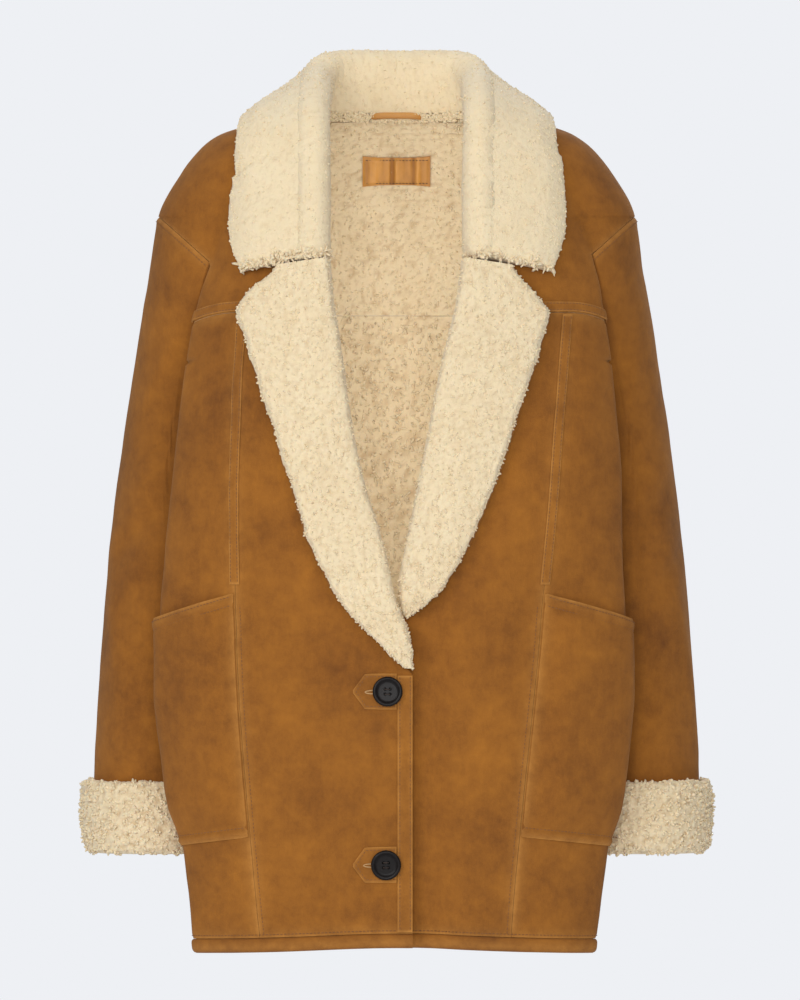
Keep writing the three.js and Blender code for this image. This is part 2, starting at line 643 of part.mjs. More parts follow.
function pocketRows(side) {
  const afterSeam = 3;
  const sideTurn = -0.15; // the body's angle where it turns in behind the sleeve, in radians
  return [0, 0.16, 0.32, 0.48, 0.64, 0.82, 1].map((level) =>
    steps(10, 0, 1).map((across) => {
      const mouth = mix(pocket.innerMouth, pocket.outerMouth, across);
      const z = mix(mix(pocket.innerFoot, pocket.outerFoot, across), mouth, level);
      const from = angleAt(z, seamX(z, side) + side * afterSeam, side);
      return onSurface(bodyPoint, z, mix(from, sideTurn, across), side);
    }),
  );
}

for (const side of [-1, 1]) {
  const lift = pocketWall + 1.6;
  addPiece("pocket_" + sideName(side), panel(pocketRows(side), pocketWall, lift), suede);
}

// Narrow strips sewn over seams and edges

const stripLift = stripThickness + 1.5 * seam;

// A strip from one x to another, in front, that follows the panel under it.
function strip(heights, limitsAt, side) {
  const rows = heights.map((z) => {
    const [from, to] = limitsAt(z).map((x) => angleAt(z, x, side));
    return evenRow(bodyRow(z, from, to, side), 3, [0, 0]);
  });
  return panel(rows, stripThickness, stripLift);
}

const yokeStrip = { underLapel: 12, outerGap: 15 }; // how far it goes in, and ends before the sleeve
const seamStripHeights = [-436, -430, -385, -320, -250, -214, yokeSeam - 2];
for (const side of [-1, 1]) {
  const limitsAt = (z) => [-1, 1].map((way) => seamX(z, side) + (way * side * stripWidth) / 2);
  addPiece("seam_strip_" + sideName(side), strip(seamStripHeights, limitsAt, side), suedeEdge);
  const rows = [yokeSeam + 1, yokeSeam + 1 + stripWidth].map((z) => {
    const from = angleAt(z, lapelEdgeX(z, side) - side * yokeStrip.underLapel, side);
    return evenRow(bodyRow(z, from, sideLimit(z, side, -1), side), 8, [0, yokeStrip.outerGap]);
  });
  addPiece("yoke_strip_" + sideName(side), panel(rows, stripThickness, stripLift), suedeEdge);
}

const bandHeights = [hemTop + 2, ...straightHeights.slice(1, -1), breakPoint - 3];
addPiece("edge_band", strip(bandHeights, () => [1, overlapEdge - seam], -1), suedeEdge);

// The buttonholes' five-sided patches, and the buttons

const patchColumns = [
  { x: -41, half: 1.5 },
  { x: -30, half: 16.5 },
  { x: -15, half: 17 },
  { x: 0, half: 17 },
];

function patchRows(z) {
  return steps(5, -1, 1).map((level) =>
    patchColumns.map(({ x, half }) => {
      const height = z + level * half;
      return onSurface(bodyPoint, height, angleAt(height, x, -1), -1);
    }),
  );
}

function manifoldOf(geometry) {
  const bare = geometry.clone();
  bare.deleteAttribute("normal");
  bare.deleteAttribute("uv");
  const merged = mergeVertices(bare, 1e-3);
  const triVerts = new Uint32Array(merged.index.array);
  const vertProperties = merged.attributes.position.array;
  return new wasm.Manifold(new wasm.Mesh({ numProp: 3, vertProperties, triVerts }));
}

function geometryOf(solid) {
  const { vertProperties, triVerts } = solid.getMesh();
  const geometry = new THREE.BufferGeometry();
  geometry.setAttribute("position", new THREE.BufferAttribute(vertProperties, 3));
  geometry.setIndex(new THREE.BufferAttribute(triVerts, 1));
  geometry.computeVertexNormals();
  return geometry;
}

// A button's half section, as shares of its radius and heights above the cloth.
const buttonProfile = [
  { share: 0, height: 0 },
  { share: 0.75, height: 0 },
  { share: 1, height: 1.6 },
  { share: 1, height: 3.2 },
  { share: 0.9, height: 4.6 },
  { share: 0.78, height: 4.4 },
  { share: 0.66, height: 3.2 },
  { share: 0, height: 3 },
];
const buttonHole = { radius: 1.1, out: 3.4 };

// A round dished button with a rim and four holes, lying in the xz plane and facing -y.
function buttonGeometry() {
  const outline = buttonProfile.map(({ share, height }) => new THREE.Vector2(share * buttonRadius, height));
  const disc = manifoldOf(new THREE.LatheGeometry(outline, 20));
  const holes = [0, 1, 2, 3].map((i) => {
    const drill = new THREE.CylinderGeometry(buttonHole.radius, buttonHole.radius, 12, 6);
    const angle = ((i + 0.5) * Math.PI) / 2;
    drill.translate(buttonHole.out * Math.cos(angle), 2, buttonHole.out * Math.sin(angle));
    return manifoldOf(drill);
  });
  return geometryOf(holes.reduce((solid, hole) => solid.subtract(hole), disc));
}

for (const { name, x, z } of buttons) {
  addPiece("buttonhole_patch_" + name, panel(patchRows(z), stripThickness, stripLift), suedeEdge);
  const seat = onSurface(bodyPoint, z, angleAt(z, x, -1), -1);
  const button = addPiece("button_" + name, buttonGeometry(), horn);
  button.quaternion.setFromUnitVectors(new THREE.Vector3(0, 1, 0), seat.normal);
  button.position.copy(lifted(seat, stripLift + 2 * seam));
}

// Lapels: each front folded back on itself along its roll, wool side out

const overYoke = 3; // how far a lapel's underside lies above the front
const gorgeRise = 7.6; // the lapel's top edge is this much higher at the roll
const narrowLapel = { share: 0.25, width: 40 }; // the wool thins where a lapel is narrower than this
const hiddenEnd = { start: -453, full: -440 }; // where the left lapel goes in behind the right front

// Places along a lapel's section, from inside the front's edge, round the roll and out to the
// loose edge: how far across, and how far out of the front, for the leather and for the wool.
const lapelShape = [
  { across: 0, leather: -wall, woolAcross: 0.04, wool: -wall },
  { across: 0, leather: -2, woolAcross: 0, wool: -3 },
  { across: 0, leather: overYoke, woolAcross: 0.02, wool: overYoke + 0.6 * collarWall },
  { across: 0.1, leather: overYoke, woolAcross: 0.14, wool: overYoke + 0.96 * collarWall },
  { across: 0.36, leather: overYoke, woolAcross: 0.4, wool: overYoke + collarWall },
  { across: 0.68, leather: overYoke, woolAcross: 0.7, wool: overYoke + collarWall },
  { across: 0.9, leather: overYoke, woolAcross: 0.92, wool: overYoke + 0.92 * collarWall },
  { across: 1, leather: overYoke, woolAcross: 1, wool: overYoke + 0.5 * collarWall },
];

function lapel(side) {
  const lowest = side < 0 ? breakPoint + 4 : hiddenBreak + 3;
  const highest = gorge - 1 - gorgeRise;
  const heights = [...turnedHeights(side), ...lowYokeHeights];
  const between = heights.filter((z) => z > lowest + 1 && z < highest - 1);
  const grid = (acrossKey, liftKey, startAt) =>
    [lowest, ...between, highest].map((row) => {
      const edge = lapelEdgeX(row, side);
      const start = startAt(row);
      const width = side * (edge - rollX(row, side));
      const shallow = Math.min(1, narrowLapel.share + width / narrowLapel.width);
      const turned = side < 0 ? 1 : smoothStep(hiddenEnd.start, hiddenEnd.full, row);
      return lapelShape.map((shape) => {
        const across = shape[acrossKey];
        const z = row + gorgeRise * (1 - across) * smoothStep(yokeSeam, highest, row);
        const x = mix(start, edge, across);
        const place = tuckedIn(onSurface(bodyPoint, z, angleAt(z, x, side), side), side);
        const lift = shape[liftKey];
        const base = overYoke * 0.9;
        return lifted(place, lift > base ? base + (lift - base) * shallow : mix(base * 0.9, lift, turned));
      });
    });
  const leatherStart = (z) => rollX(z, side) + side * rollThickness(z, side);
  const woolStart = (z) => rollX(z, side);
  return closedSheet(grid("woolAcross", "wool", woolStart), grid("across", "leather", leatherStart));
}

for (const side of [-1, 1]) {
  addPiece("lapel_" + sideName(side), lapel(side), fleece);
}

// The collar: it stands at the neck, folds over and falls on the shoulders

const foldRadius = 4;
const edgeTaper = [0.5, 0.85]; // of the wool's full thickness, from the loose edge in
const foldAngles = [Math.PI, 0.75 * Math.PI, 0.5 * Math.PI, 0.25 * Math.PI, 0];
const collarClear = 3; // least distance of the fall above the yoke
const frontCorner = 0.5; // where along the collar the neck turns down the front

// Places all over one shoulder, to keep the collar clear of it.
function shoulderPlaces(side) {
  const heights = steps(49, yokeSeam, yokeTop);
  return heights.flatMap((z) => [...frontYokeRow(z, side), ...shoulderRow(z, Math.PI / 2, side, 1)]);
}

function nearest(places, point) {
  let best = places[0];
  let least = Infinity;
  for (const place of places) {
    const distance = place.point.distanceToSquared(point);
    if (distance < least) [best, least] = [place, distance];
  }
  return best;
}

// Moves a point out to the given height above the nearest place, if it is lower, or if it has
// to rest there.
function keptClear(places, point, height, resting = false) {
  const place = nearest(places, point);
  const lift = point.clone().sub(place.point).dot(place.normal);
  if (lift < height || resting) point.addScaledVector(place.normal, height - lift);
  return point;
}

// The neck seam: round the top of the yokes from the back, then down the front's own edge.
function neckPlace({ at, z }, side) {
  const own = angleAt(z, frontEdge(z, side), side);
  const angle = at <= frontCorner ? mix(Math.PI / 2, own, at / frontCorner) : own;
  return onSurface(bodyPoint, z, angle, side);
}

// The leather side of the collar at one station, from the neck seam over the fold to the edge.
// In front it starts inside and comes round the yoke's own edge.
function collarPath(station, side, places) {
  const read = (column) => valueAt(collarStations, "at", column, station.at);
  const lean = radians(read("lean"));
  const frontness = Math.sin(lean) ** 2;
  const top = new THREE.Vector3(0, -Math.sin(lean), Math.cos(lean));
  const seat = neckPlace(station, side);
  const away = station.at <= frontCorner ? new THREE.Vector3(0, 0, seam) : new THREE.Vector3(-side * seam, 0, 0);
  seat.point.add(away);
  const neck = lifted(seat, -wall * frontness);
  const fold = new THREE.Vector3(side * read("foldX"), read("foldY"), read("foldZ"));
  const edge = new THREE.Vector3(side * read("edgeX"), read("edgeY"), read("edgeZ"));
  keptClear(places, edge, collarClear, true);
  const out = edge.clone().sub(neck);
  out.addScaledVector(top, -out.dot(top)).normalize();
  const arc = foldAngles.map((angle) =>
    fold.clone().addScaledVector(out, foldRadius * Math.cos(angle)).addScaledVector(top, foldRadius * (Math.sin(angle) - 1)),
  );
  const outer = arc.pop();
  const middle = outer.clone().lerp(edge, 0.5).addScaledVector(top, 2 * read("bulge"));
  const fall = new THREE.QuadraticBezierCurve3(outer, middle, edge).getPoints(4);
  const clear = fall.map((point) => keptClear(places, point, collarClear));
  const inner = arc[0];
  if (station.at > frontCorner) inner.setX(side * Math.min(side * inner.x, side * seat.point.x));
  const stand = neck.clone().lerp(inner, 0.5).lerp(lifted(seat, -3), frontness);
  return [neck, stand, ...arc, ...clear];
}

// Stations along half the collar, with the height of the neck seam at each: even at the back,
// then level with the yoke's rows.
function collarPlaces() {
  const front = collarStations.filter(({ at }) => at >= frontCorner).reverse();
  const heights = [...highYokeHeights.slice().reverse(), -108, gorge];
  const down = heights.map((z) => ({ at: valueAt(front, "neckZ", "at", z), z }));
  return [...steps(8, 0, frontCorner).map((at) => ({ at, z: yokeTop })), ...down];
}

function collar() {
  const half = collarPlaces();
  const stations = [-1, 1].flatMap((side) => {
    const places = shoulderPlaces(side);
    const paths = half.map((station) => collarPath(station, side, places));
    return side < 0 ? paths.slice(1).reverse() : paths;
  });
  const last = stations.length - 1;
  const wool = stations.map((path, s) =>
    path.map((point, i) => {
      const end = path.length - 1;
      const along = path[Math.min(i + 1, end)].clone().sub(path[Math.max(i - 1, 0)]);
      const next = stations[Math.min(s + 1, last)][i];
      const round = next.clone().sub(stations[Math.max(s - 1, 0)][i]);
      const thickness = collarWall * (edgeTaper[end - i] ?? 1);
      return point.clone().addScaledVector(round.cross(along).normalize(), thickness);
    }),
  );
  return closedSheet(wool, stations);
}

addPiece("collar", collar(), fleece);

// Inside the back of the neck: the hanging loop and a blank leather patch

function insideBack(x, z) {
  const side = x < 0 ? -1 : 1;
  return onSurface(bodyPoint, z, angleBehind(z, x, side), side);
}

const neckPatch = { halfWidth: 33.5, top: -23, bottom: -50 };
const neckPatchRows = steps(4, neckPatch.bottom, neckPatch.top).map((z) =>
  steps(9, -neckPatch.halfWidth, neckPatch.halfWidth).map((x) => insideBack(x, z)),
);
addPiece("neck_patch", panel(neckPatchRows, stripThickness, -wall - 2 * seam), tanLeather);

const loop = { halfWidth: 26, top: 11, bottom: 5, thickness: 3 };
const loopRows = [loop.bottom, loop.top].map((z) =>
  steps(8, -loop.halfWidth, loop.halfWidth).map((x) => insideBack(x, z)),
);
addPiece("hanging_loop", panel(loopRows, loop.thickness, -wall - 2 * seam), tanLeather);

export default coat;
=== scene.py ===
# The looks of a hip-length shearling coat, filled out as it is when worn, with nobody in it.
# Surfaces are worked out in millimetres, on the solids' sections and folds with a few small
# corrections, and go into the meshes in metres. x runs to the wearer's left, y to the back, z up.
import itertools
import math
import bpy
import numpy as np
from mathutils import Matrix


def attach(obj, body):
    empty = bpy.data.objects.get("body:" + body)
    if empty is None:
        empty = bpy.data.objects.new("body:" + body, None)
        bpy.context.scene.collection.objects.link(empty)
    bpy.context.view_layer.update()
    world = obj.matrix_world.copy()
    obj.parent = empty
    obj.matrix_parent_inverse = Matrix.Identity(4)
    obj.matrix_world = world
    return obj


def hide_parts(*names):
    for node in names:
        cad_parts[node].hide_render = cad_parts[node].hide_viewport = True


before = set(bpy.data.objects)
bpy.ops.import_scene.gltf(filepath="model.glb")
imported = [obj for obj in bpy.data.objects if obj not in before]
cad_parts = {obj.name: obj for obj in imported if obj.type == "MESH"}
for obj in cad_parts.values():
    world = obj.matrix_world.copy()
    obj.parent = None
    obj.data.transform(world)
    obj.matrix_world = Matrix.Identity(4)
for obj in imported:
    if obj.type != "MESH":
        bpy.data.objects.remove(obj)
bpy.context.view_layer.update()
rng = np.random.default_rng(31)

# Sizes shared by several pieces

coat = {
    "wall": 9,  # leather with its clipped wool
    "collarWall": 13,  # leather with the longer wool of collar, lapels and cuffs
    "seam": 0.4,
    "stripThickness": 1.4,
    "stripWidth": 9,
    "pocketWall": 6,
    "hemTop": -767,
    "yokeSeam": -178,
    "yokeTop": 12.6,
    "gorge": -128,
    "breakPoint": -519,
    "hiddenBreak": -470,
    "overlapEdge": 15.5,
    "hiddenEdge": -38,
    "sleeveEnd": -686,
}
squareness = 2.5  # of the body's level sections: 2 is an ellipse
foldReach = {"body": 150, "arm": 60}  # millimetres of cloth that one radian stands for in the folds
shoulderSeam = {"outer": 228, "top": -85, "slope": 0.9}
tuck = {
    "depth": 10.2,
    "hemDepth": 5,
    "hemStart": -730,
    "full": -455,
    "none": -395,
    "inner": 28,
    "outer": 70,
}


def tableOf(columns, rows):
    return dict(zip(columns.split(), np.array(rows, float).T))


# Level sections: half widths to each side, depth to front and back, half width further back
bodySections = tableOf("z right left front back behind", [
    (-800, 205, 200, 111, 106, 150),
    (-679, 219.5, 216.5, 120, 112, 157),
    (-603, 233, 228, 126, 116, 159),
    (-537, 240, 234, 130, 118, 160),
    (-480, 241, 235, 131, 119, 160),
    (-413, 238, 231, 132, 120, 159),
    (-337, 229, 229, 132, 121, 158),
    (-261, 219, 222, 130, 122, 157),
    (-195, 208, 214, 124, 121, 156),
    (-126, 190, 201, 113, 116, 153),
    (-62, 173, 184, 97, 106, 148),
    (-24, 157, 167, 84, 95, 139),
    (0, 134, 137, 72, 83, 124),
    (8, 110, 111, 65, 77, 104),
    (13, 90, 90, 60, 73, 88),
])
# An arm's level sections: outer and inner edge, how far back its middle lies, half its depth
armSections = tableOf("z outer inner middle depth", [
    (-700, 288, 177, 37, 56),
    (-625, 289.5, 175, 39, 60),
    (-560, 286.5, 173, 41, 64),
    (-500, 282.5, 171, 42, 67),
    (-420, 276, 168, 46, 70),
    (-340, 267.5, 164, 50, 71),
    (-270, 258, 156.5, 52, 72),
    (-200, 247, 135, 42, 76),
    (-140, 236.5, 105, 26, 81),
    (-85, 228, 75, 18, 77),
    (-43, 206, 58, 12, 71),
    (-24, 191, 52, 10, 65),
    (-8, 171, 46, 8, 56),
    (0, 151, 42, 7, 49),
    (6, 122, 40, 6, 40),
    (10, 100, 38, 6, 33),
    (14, 76, 36, 6, 26),
])
# Soft ridges and troughs: angle in degrees round the section, tilt from upright, sizes in mm
bodyFolds = tableOf("side z angle tilt length width height", [
    (-1, -400, -27, 24, 90, 15, 3.5),
    (-1, -330, -34, 14, 80, 14, -2.5),
    (-1, -650, -50, -6, 120, 17, 3),
    (1, -300, -30, -12, 110, 16, 3.5),
    (1, -420, -50, -10, 120, 20, 3),
    (1, -650, -36, 8, 110, 18, 3),
    (-1, -480, 58, 5, 230, 26, 5),
    (1, -440, 64, -6, 250, 28, 6),
    (1, -560, 40, 3, 160, 20, 4),
])
armFolds = tableOf("side z angle tilt length width height", [
    (-1, -330, -75, 62, 40, 13, 3.5),
    (-1, -395, -50, 50, 45, 12, -3),
    (-1, -470, -35, -12, 120, 16, 3),
    (1, -350, -70, -55, 42, 13, 3.5),
    (1, -430, -45, -46, 46, 12, -3),
    (1, -500, -30, 10, 120, 16, 3),
    (-1, -380, 80, 30, 60, 15, 4),
    (1, -370, 85, -32, 60, 15, 4),
])
# Smaller creases that only the looks have
bodyCreases = tableOf("side z angle tilt length width height", [
    (-1, -470, -40, 38, 46, 9, -1.3),
    (-1, -505, -52, 60, 40, 8, 1.1),
    (-1, -560, -75, 74, 34, 7, -1.0),
    (-1, -548, -82, 62, 22, 6, 1.0),
    (-1, -527, -79, -60, 20, 6, -0.8),
    (-1, -240, -36, 20, 60, 10, 1.4),
    (-1, -290, -60, 12, 90, 16, 1.3),
    (-1, -720, -70, -8, 50, 12, 1.2),
    (1, -470, -44, -36, 48, 9, -1.3),
    (1, -520, -60, -62, 40, 9, 1.1),
    (1, -360, -68, -14, 80, 14, 1.6),
    (1, -245, -33, -24, 50, 9, 1.3),
    (1, -600, -75, 10, 90, 15, -1.3),
    (1, -720, -68, 10, 50, 12, 1.2),
    (-1, -300, 60, 10, 90, 13, 1.6),
    (-1, -620, 70, -6, 100, 16, 2.0),
    (-1, -400, 74, 30, 50, 10, -1.3),
    (1, -300, 62, -12, 90, 13, 1.6),
    (1, -640, 72, 5, 100, 16, 1.8),
    (1, -410, 80, -36, 50, 10, -1.2),
])
armCreases = tableOf("side z angle tilt length width height", [
    (-1, -300, -95, 66, 34, 7, -1.6),
    (-1, -362, -62, 58, 34, 8, 1.5),
    (-1, -430, -58, 40, 40, 8, 1.4),
    (-1, -520, -60, 66, 38, 8, -1.2),
    (-1, -585, -50, -58, 38, 9, 1.2),
    (-1, -625, -85, 70, 34, 8, -1.0),
    (-1, -230, -60, 20, 50, 9, 1.3),
    (-1, -330, 60, -60, 36, 9, 1.5),
    (-1, -450, 70, 58, 36, 9, -1.3),
    (-1, -560, 60, -64, 38, 9, 1.3),
    (1, -310, -90, -66, 34, 7, -1.6),
    (1, -388, -60, -56, 34, 8, 1.5),
    (1, -462, -62, -42, 40, 8, 1.3),
    (1, -545, -64, -66, 38, 8, -1.2),
    (1, -600, -48, 60, 36, 9, 1.1),
    (1, -240, -62, -22, 50, 9, 1.3),
    (1, -330, 62, 60, 36, 9, 1.5),
    (1, -455, 72, -58, 36, 9, -1.3),
    (1, -565, 58, 66, 38, 9, 1.3),
])
# The line that each front turns back along, and the outer edge of its lapel
lapelLines = tableOf("z rightRoll leftRoll rightEdge leftEdge", [
    (-519, 15, 15, 13, 15),
    (-504, 14.6, 15, -6, 15),
    (-490, 13.5, 14.5, -18, 15),
    (-470, 7.5, 9, -38, 11),
    (-456, 1.5, 3.4, -50, 27),
    (-437, -4, 2.2, -63, 46),
    (-413, -8.5, 5.5, -75, 60),
    (-387, -15.5, 11, -86, 73),
    (-337, -31, 21, -101, 94),
    (-290, -41, 30, -115, 110),
    (-242, -48, 39, -130, 126),
    (-200, -54, 49, -143, 138),
    (-180, -57.5, 54, -148, 142),
    (-163, -60, 57.5, -139, 132),
    (-136, -63, 61.5, -113, 109),
    (-110, -64, 63, -113, 109),
    (-62, -63, 62.5, -113, 109),
    (-30, -64.5, 64, -113, 109),
    (-12, -69, 69, -113, 109),
    (0, -73, 73, -113, 109),
    (13, -74, 74, -113, 109),
])
sideFrontSeam = tableOf("z right left", [
    (-800, -126, 107),
    (-736, -133, 111),
    (-641, -142, 120),
    (-546, -149, 130),
    (-451, -153, 139),
    (-356, -154, 148),
    (-261, -151, 155),
    (-178, -146, 162),
])
# The collar from the middle of the back (0) to its front end (1)
collarStations = tableOf("at neckZ foldX foldY foldZ edgeX edgeY edgeZ lean bulge", [
    (0, 12.6, 0, 87, 64, 0, 118, -42, 0, 7),
    (0.13, 12.6, 38, 83, 65, 72, 110, -39, 0, 7),
    (0.26, 12.6, 68, 65, 60.5, 122, 84, -26, 0, 5),
    (0.38, 12.6, 77, 36, 48, 138, 46, -9, 4, 2),
    (0.5, 12.6, 78, -14, 39, 143, -2, -6, 14, -1),
    (0.6, 8, 79, -50, 25, 146, -36, -18, 34, 0),
    (0.7, -6, 80, -77, 3, 149, -50, -42, 58, 2),
    (0.8, -38, 79.5, -92, -34, 149, -58, -76, 76, 1),
    (0.9, -82, 79.5, -106, -81, 147, -64, -108, 86, 0),
    (1, -128, 81, -114, -128, 139, -80, -143, 90, 0),
])

# Small tools for numbers and grids


def mix(a, b, t):
    return a + (b - a) * t


def smoothStep(low, high, value):
    t = np.clip((value - low) / (high - low), 0, 1)
    return t * t * (3 - 2 * t)


def read(table, name, place, key="z"):
    # A column between its rows, on a cubic that never overshoots them.
    x, y = table[key], table[name]
    run = np.diff(x)
    rise = np.diff(y) / run
    before, after = rise[:-1], rise[1:]
    same = before * after > 0
    slope = np.where(same, 2 * before * after / np.where(same, before + after, 1), 0)
    slope = np.concatenate([rise[:1], slope, rise[-1:]])
    at = np.clip(place, x[0], x[-1])
    i = np.clip(np.searchsorted(x, at) - 1, 0, len(x) - 2)
    t = (at - x[i]) / run[i]
    bend = t * (1 - t) * run[i] * ((1 - t) * slope[i] - t * slope[i + 1])
    return mix(y[i], y[i + 1], t * t * (3 - 2 * t)) + bend


def vectors(x, y, z):
    return np.stack(np.broadcast_arrays(x, y, z), axis=-1).astype(float)


def unit(rows):
    return rows / np.maximum(np.linalg.norm(rows, axis=-1, keepdims=True), 1e-9)


def hashed(cell, seed):
    # One random number from 0 to 1 for each whole-number cell: the loose digits of a large sine.
    mixed = cell[..., 0] * 127.1 + cell[..., 1] * 311.7 + cell[..., 2] * 74.7 + seed * 53.3
    return np.modf(np.abs(np.sin(mixed)) * 43758.5453)[0]


def smoothNoise(points, size, seed):
    # Random values at the corners of cubes of that size, blended smoothly between: -1 to 1.
    place = points / size
    cell = np.floor(place)
    t = place - cell
    t = t * t * (3 - 2 * t)
    total = np.zeros(points.shape[:-1])
    for corner in itertools.product((0, 1), repeat=3):
        total += np.prod(np.where(np.array(corner), t, 1 - t), axis=-1) * hashed(cell + corner, seed)
    return 2 * total - 1


def tufts(points, size, seed):
    # One loose point in each cube of that size: 1 at the nearest one, falling to 0 between them.
    place = points / size
    cell = np.floor(place)
    nearest = np.full(points.shape[:-1], 9.0)
    for step in itertools.product((-1, 0, 1), repeat=3):
        other = cell + np.array(step)
        centre = other + vectors(*(0.1 + 0.8 * hashed(other, seed + k) for k in range(3)))
        nearest = np.minimum(nearest, ((place - centre) ** 2).sum(-1))
    return np.clip(1 - nearest / 0.7, 0, 1)


def spread(low, high, step, edge=(0, 0.7, 1.6, 2.9, 4.8)):
    # Heights from low to high, an even step apart, and closer near both ends.
    edge = np.array(edge)
    count = max(2, int((high - low) / step))
    middle = np.linspace(low + edge[-1], high - edge[-1], count)[1:-1]
    return np.concatenate([low + edge, middle, high - edge[::-1]])


def crossing(value, low, high, rounds=24):
    # Halves the stretch between two places, for all of them at once, round where the value changes sign.
    low, high = np.broadcast_arrays(np.asarray(low, float), np.asarray(high, float))
    below = value(low) < 0
    for _ in range(rounds):
        middle = (low + high) / 2
        same = (value(middle) < 0) == below
        low = np.where(same, middle, low)
        high = np.where(same, high, middle)
    return (low + high) / 2


def lengthsAlong(points, axis=0):
    # How far each place lies along its line from the first one.
    hops = np.linalg.norm(np.diff(points, axis=axis), axis=-1)
    return np.concatenate([0 * hops.take([0], axis), np.cumsum(hops, axis=axis)], axis=axis)


# The body's and the arms' surfaces


def foldLift(folds, z, angle, side, reach):
    # The sum of the folds' bell curves, each long one way and narrow the other.
    lift = np.zeros(np.broadcast(z, angle, side).shape)
    for i in range(len(folds["z"])):
        fold = {key: folds[key][i] for key in folds}
        tilt = math.radians(fold["tilt"])
        around = (angle - math.radians(fold["angle"])) * reach
        up = z - fold["z"]
        across = (around * math.cos(tilt) + up * math.sin(tilt)) / fold["width"]
        along = (up * math.cos(tilt) - around * math.sin(tilt)) / fold["length"]
        lift += np.where(side == fold["side"], fold["height"] * np.exp(-across**2 - along**2), 0)
    return lift


def bodySurface(z, angle, side):
    # A superellipse at each height, with the folds added to its radius, lower at the hem's sides.
    z, angle, side = np.broadcast_arrays(np.asarray(z, float), angle, side)
    out, rear = np.cos(angle), np.sin(angle)
    width = np.where(side * out > 0, read(bodySections, "left", z), read(bodySections, "right", z))
    halfWidth = mix(width, read(bodySections, "behind", z), smoothStep(-0.3, 0, rear))
    depth = mix(read(bodySections, "front", z), read(bodySections, "back", z), smoothStep(-0.2, 0.2, rear))
    radius = (np.abs(out / halfWidth) ** squareness + np.abs(rear / depth) ** squareness) ** (-1 / squareness)
    radius = radius + foldLift(bodyFolds, z, angle, side, foldReach["body"])
    droop = 7 * smoothStep(-560, coat["hemTop"], z) * out * out
    return vectors(side * radius * out, radius * rear, z - droop)


def armShape(z):
    outer, inner = read(armSections, "outer", z), read(armSections, "inner", z)
    middle, depth = read(armSections, "middle", z), read(armSections, "depth", z)
    return (outer + inner) / 2, (outer - inner) / 2, middle, depth


def armSurface(z, angle, side):
    # An ellipse at each height, with the folds added to both its half axes.
    z, angle, side = np.broadcast_arrays(np.asarray(z, float), angle, side)
    centre, half, middle, depth = armShape(z)
    lift = foldLift(armFolds, z, angle, side, foldReach["arm"])
    x = centre + (half + lift) * np.cos(angle)
    return vectors(side * x, middle + (depth + lift) * np.sin(angle), z)


def unevenness(points):
    return 0.8 * smoothNoise(points, 46, 1) + 0.3 * smoothNoise(points, 17, 2)


def placesOn(surface, z, angle, side):
    # Points with the way their outside faces, from small steps both ways, set slightly uneven.
    z, angle, side = np.broadcast_arrays(np.asarray(z, float), angle, side)
    along = surface(z, angle + 0.004, side) - surface(z, angle - 0.004, side)
    up = surface(z + 0.5, angle, side) - surface(z - 0.5, angle, side)
    normal = unit(np.cross(along, up)) * side[..., None]
    point = surface(z, angle, side)
    creases = bodyCreases if surface is bodySurface else armCreases
    reach = foldReach["body" if surface is bodySurface else "arm"]
    lift = unevenness(point) + foldLift(creases, z, angle, side, reach)
    return point + normal * lift[..., None], normal


def raised(places, lift):
    points, normals = places
    return points + normals * np.broadcast_to(lift, points.shape[:-1])[..., None]


def armField(points, z, side):
    # Less than 0 inside an arm.
    centre, half, middle, depth = armShape(z)
    return ((side * points[..., 0] - centre) / half) ** 2 + ((points[..., 1] - middle) / depth) ** 2 - 1


def bodyField(points, z, side):
    # More than 0 inside the body.
    angle = np.arctan2(points[..., 1], side * points[..., 0])
    edge = bodySurface(z, angle, side)
    return np.hypot(edge[..., 0], edge[..., 1]) - np.hypot(points[..., 0], points[..., 1])


def deepest(z, side):
    # The angle at which the body comes nearest to the arm, or reaches deepest into it.
    angles = np.arange(-0.6, 1.005, 0.01)
    field = armField(bodySurface(z[:, None], angles, side), z[:, None], side)
    return angles[field.argmin(1)], field.min(1)


def findUnderarm(side):
    z = crossing(lambda at: deepest(at, side)[1], np.array([-300.0]), np.array([-200.0]))
    return {"z": float(z[0]), "angle": float(deepest(z, side)[0][0])}


underarms = {side: findUnderarm(side) for side in (-1, 1)}


def sideLimit(z, side, way):
    # The body's angle at the side seam and, above the underarm, at the armhole.
    angle, field = deepest(z, side)
    limit = crossing(lambda a: armField(bodySurface(z, a, side), z, side), angle, np.full(len(z), way * 1.5))
    limit = np.where(field >= 0, 0, limit)
    return np.where(z <= underarms[side]["z"], underarms[side]["angle"], limit)


yokeBend = {"drop": 14, "below": -222, "above": -134}  # how far, and between which heights
armholes = {}
for side in (-1, 1):
    heights = np.linspace(-270, -120, 301)
    armholes[side] = (heights, sideLimit(heights, side, -1))


def armLimits(z, side, way):
    # The arm's angles from its crease with the body to the seam across the shoulder.
    centre, half, middle, depth = armShape(z)
    crease = bodySurface(z, sideLimit(z, side, way), side)
    turn = np.arctan2((crease[:, 1] - middle) / depth, (side * crease[:, 0] - centre) / half)
    start = np.where(way * turn > 0, turn, turn + way * math.tau)
    reach = shoulderSeam["outer"] - (shoulderSeam["top"] - z) / shoulderSeam["slope"]
    slanted = np.arccos(np.clip((reach - centre) / half, -1, 1))
    return start, np.where(z >= shoulderSeam["top"], 0, way * np.minimum(slanted, np.abs(start)))


def angleAt(z, x, side, low=-2.4, high=-0.05):
    # The body's angle where its section reaches an x: in front, unless other limits are given.
    low, high = np.broadcast_to(low, np.shape(z)), np.broadcast_to(high, np.shape(z))
    return crossing(lambda a: side * (bodySurface(z, a, side)[..., 0] - x), low, high, 20)


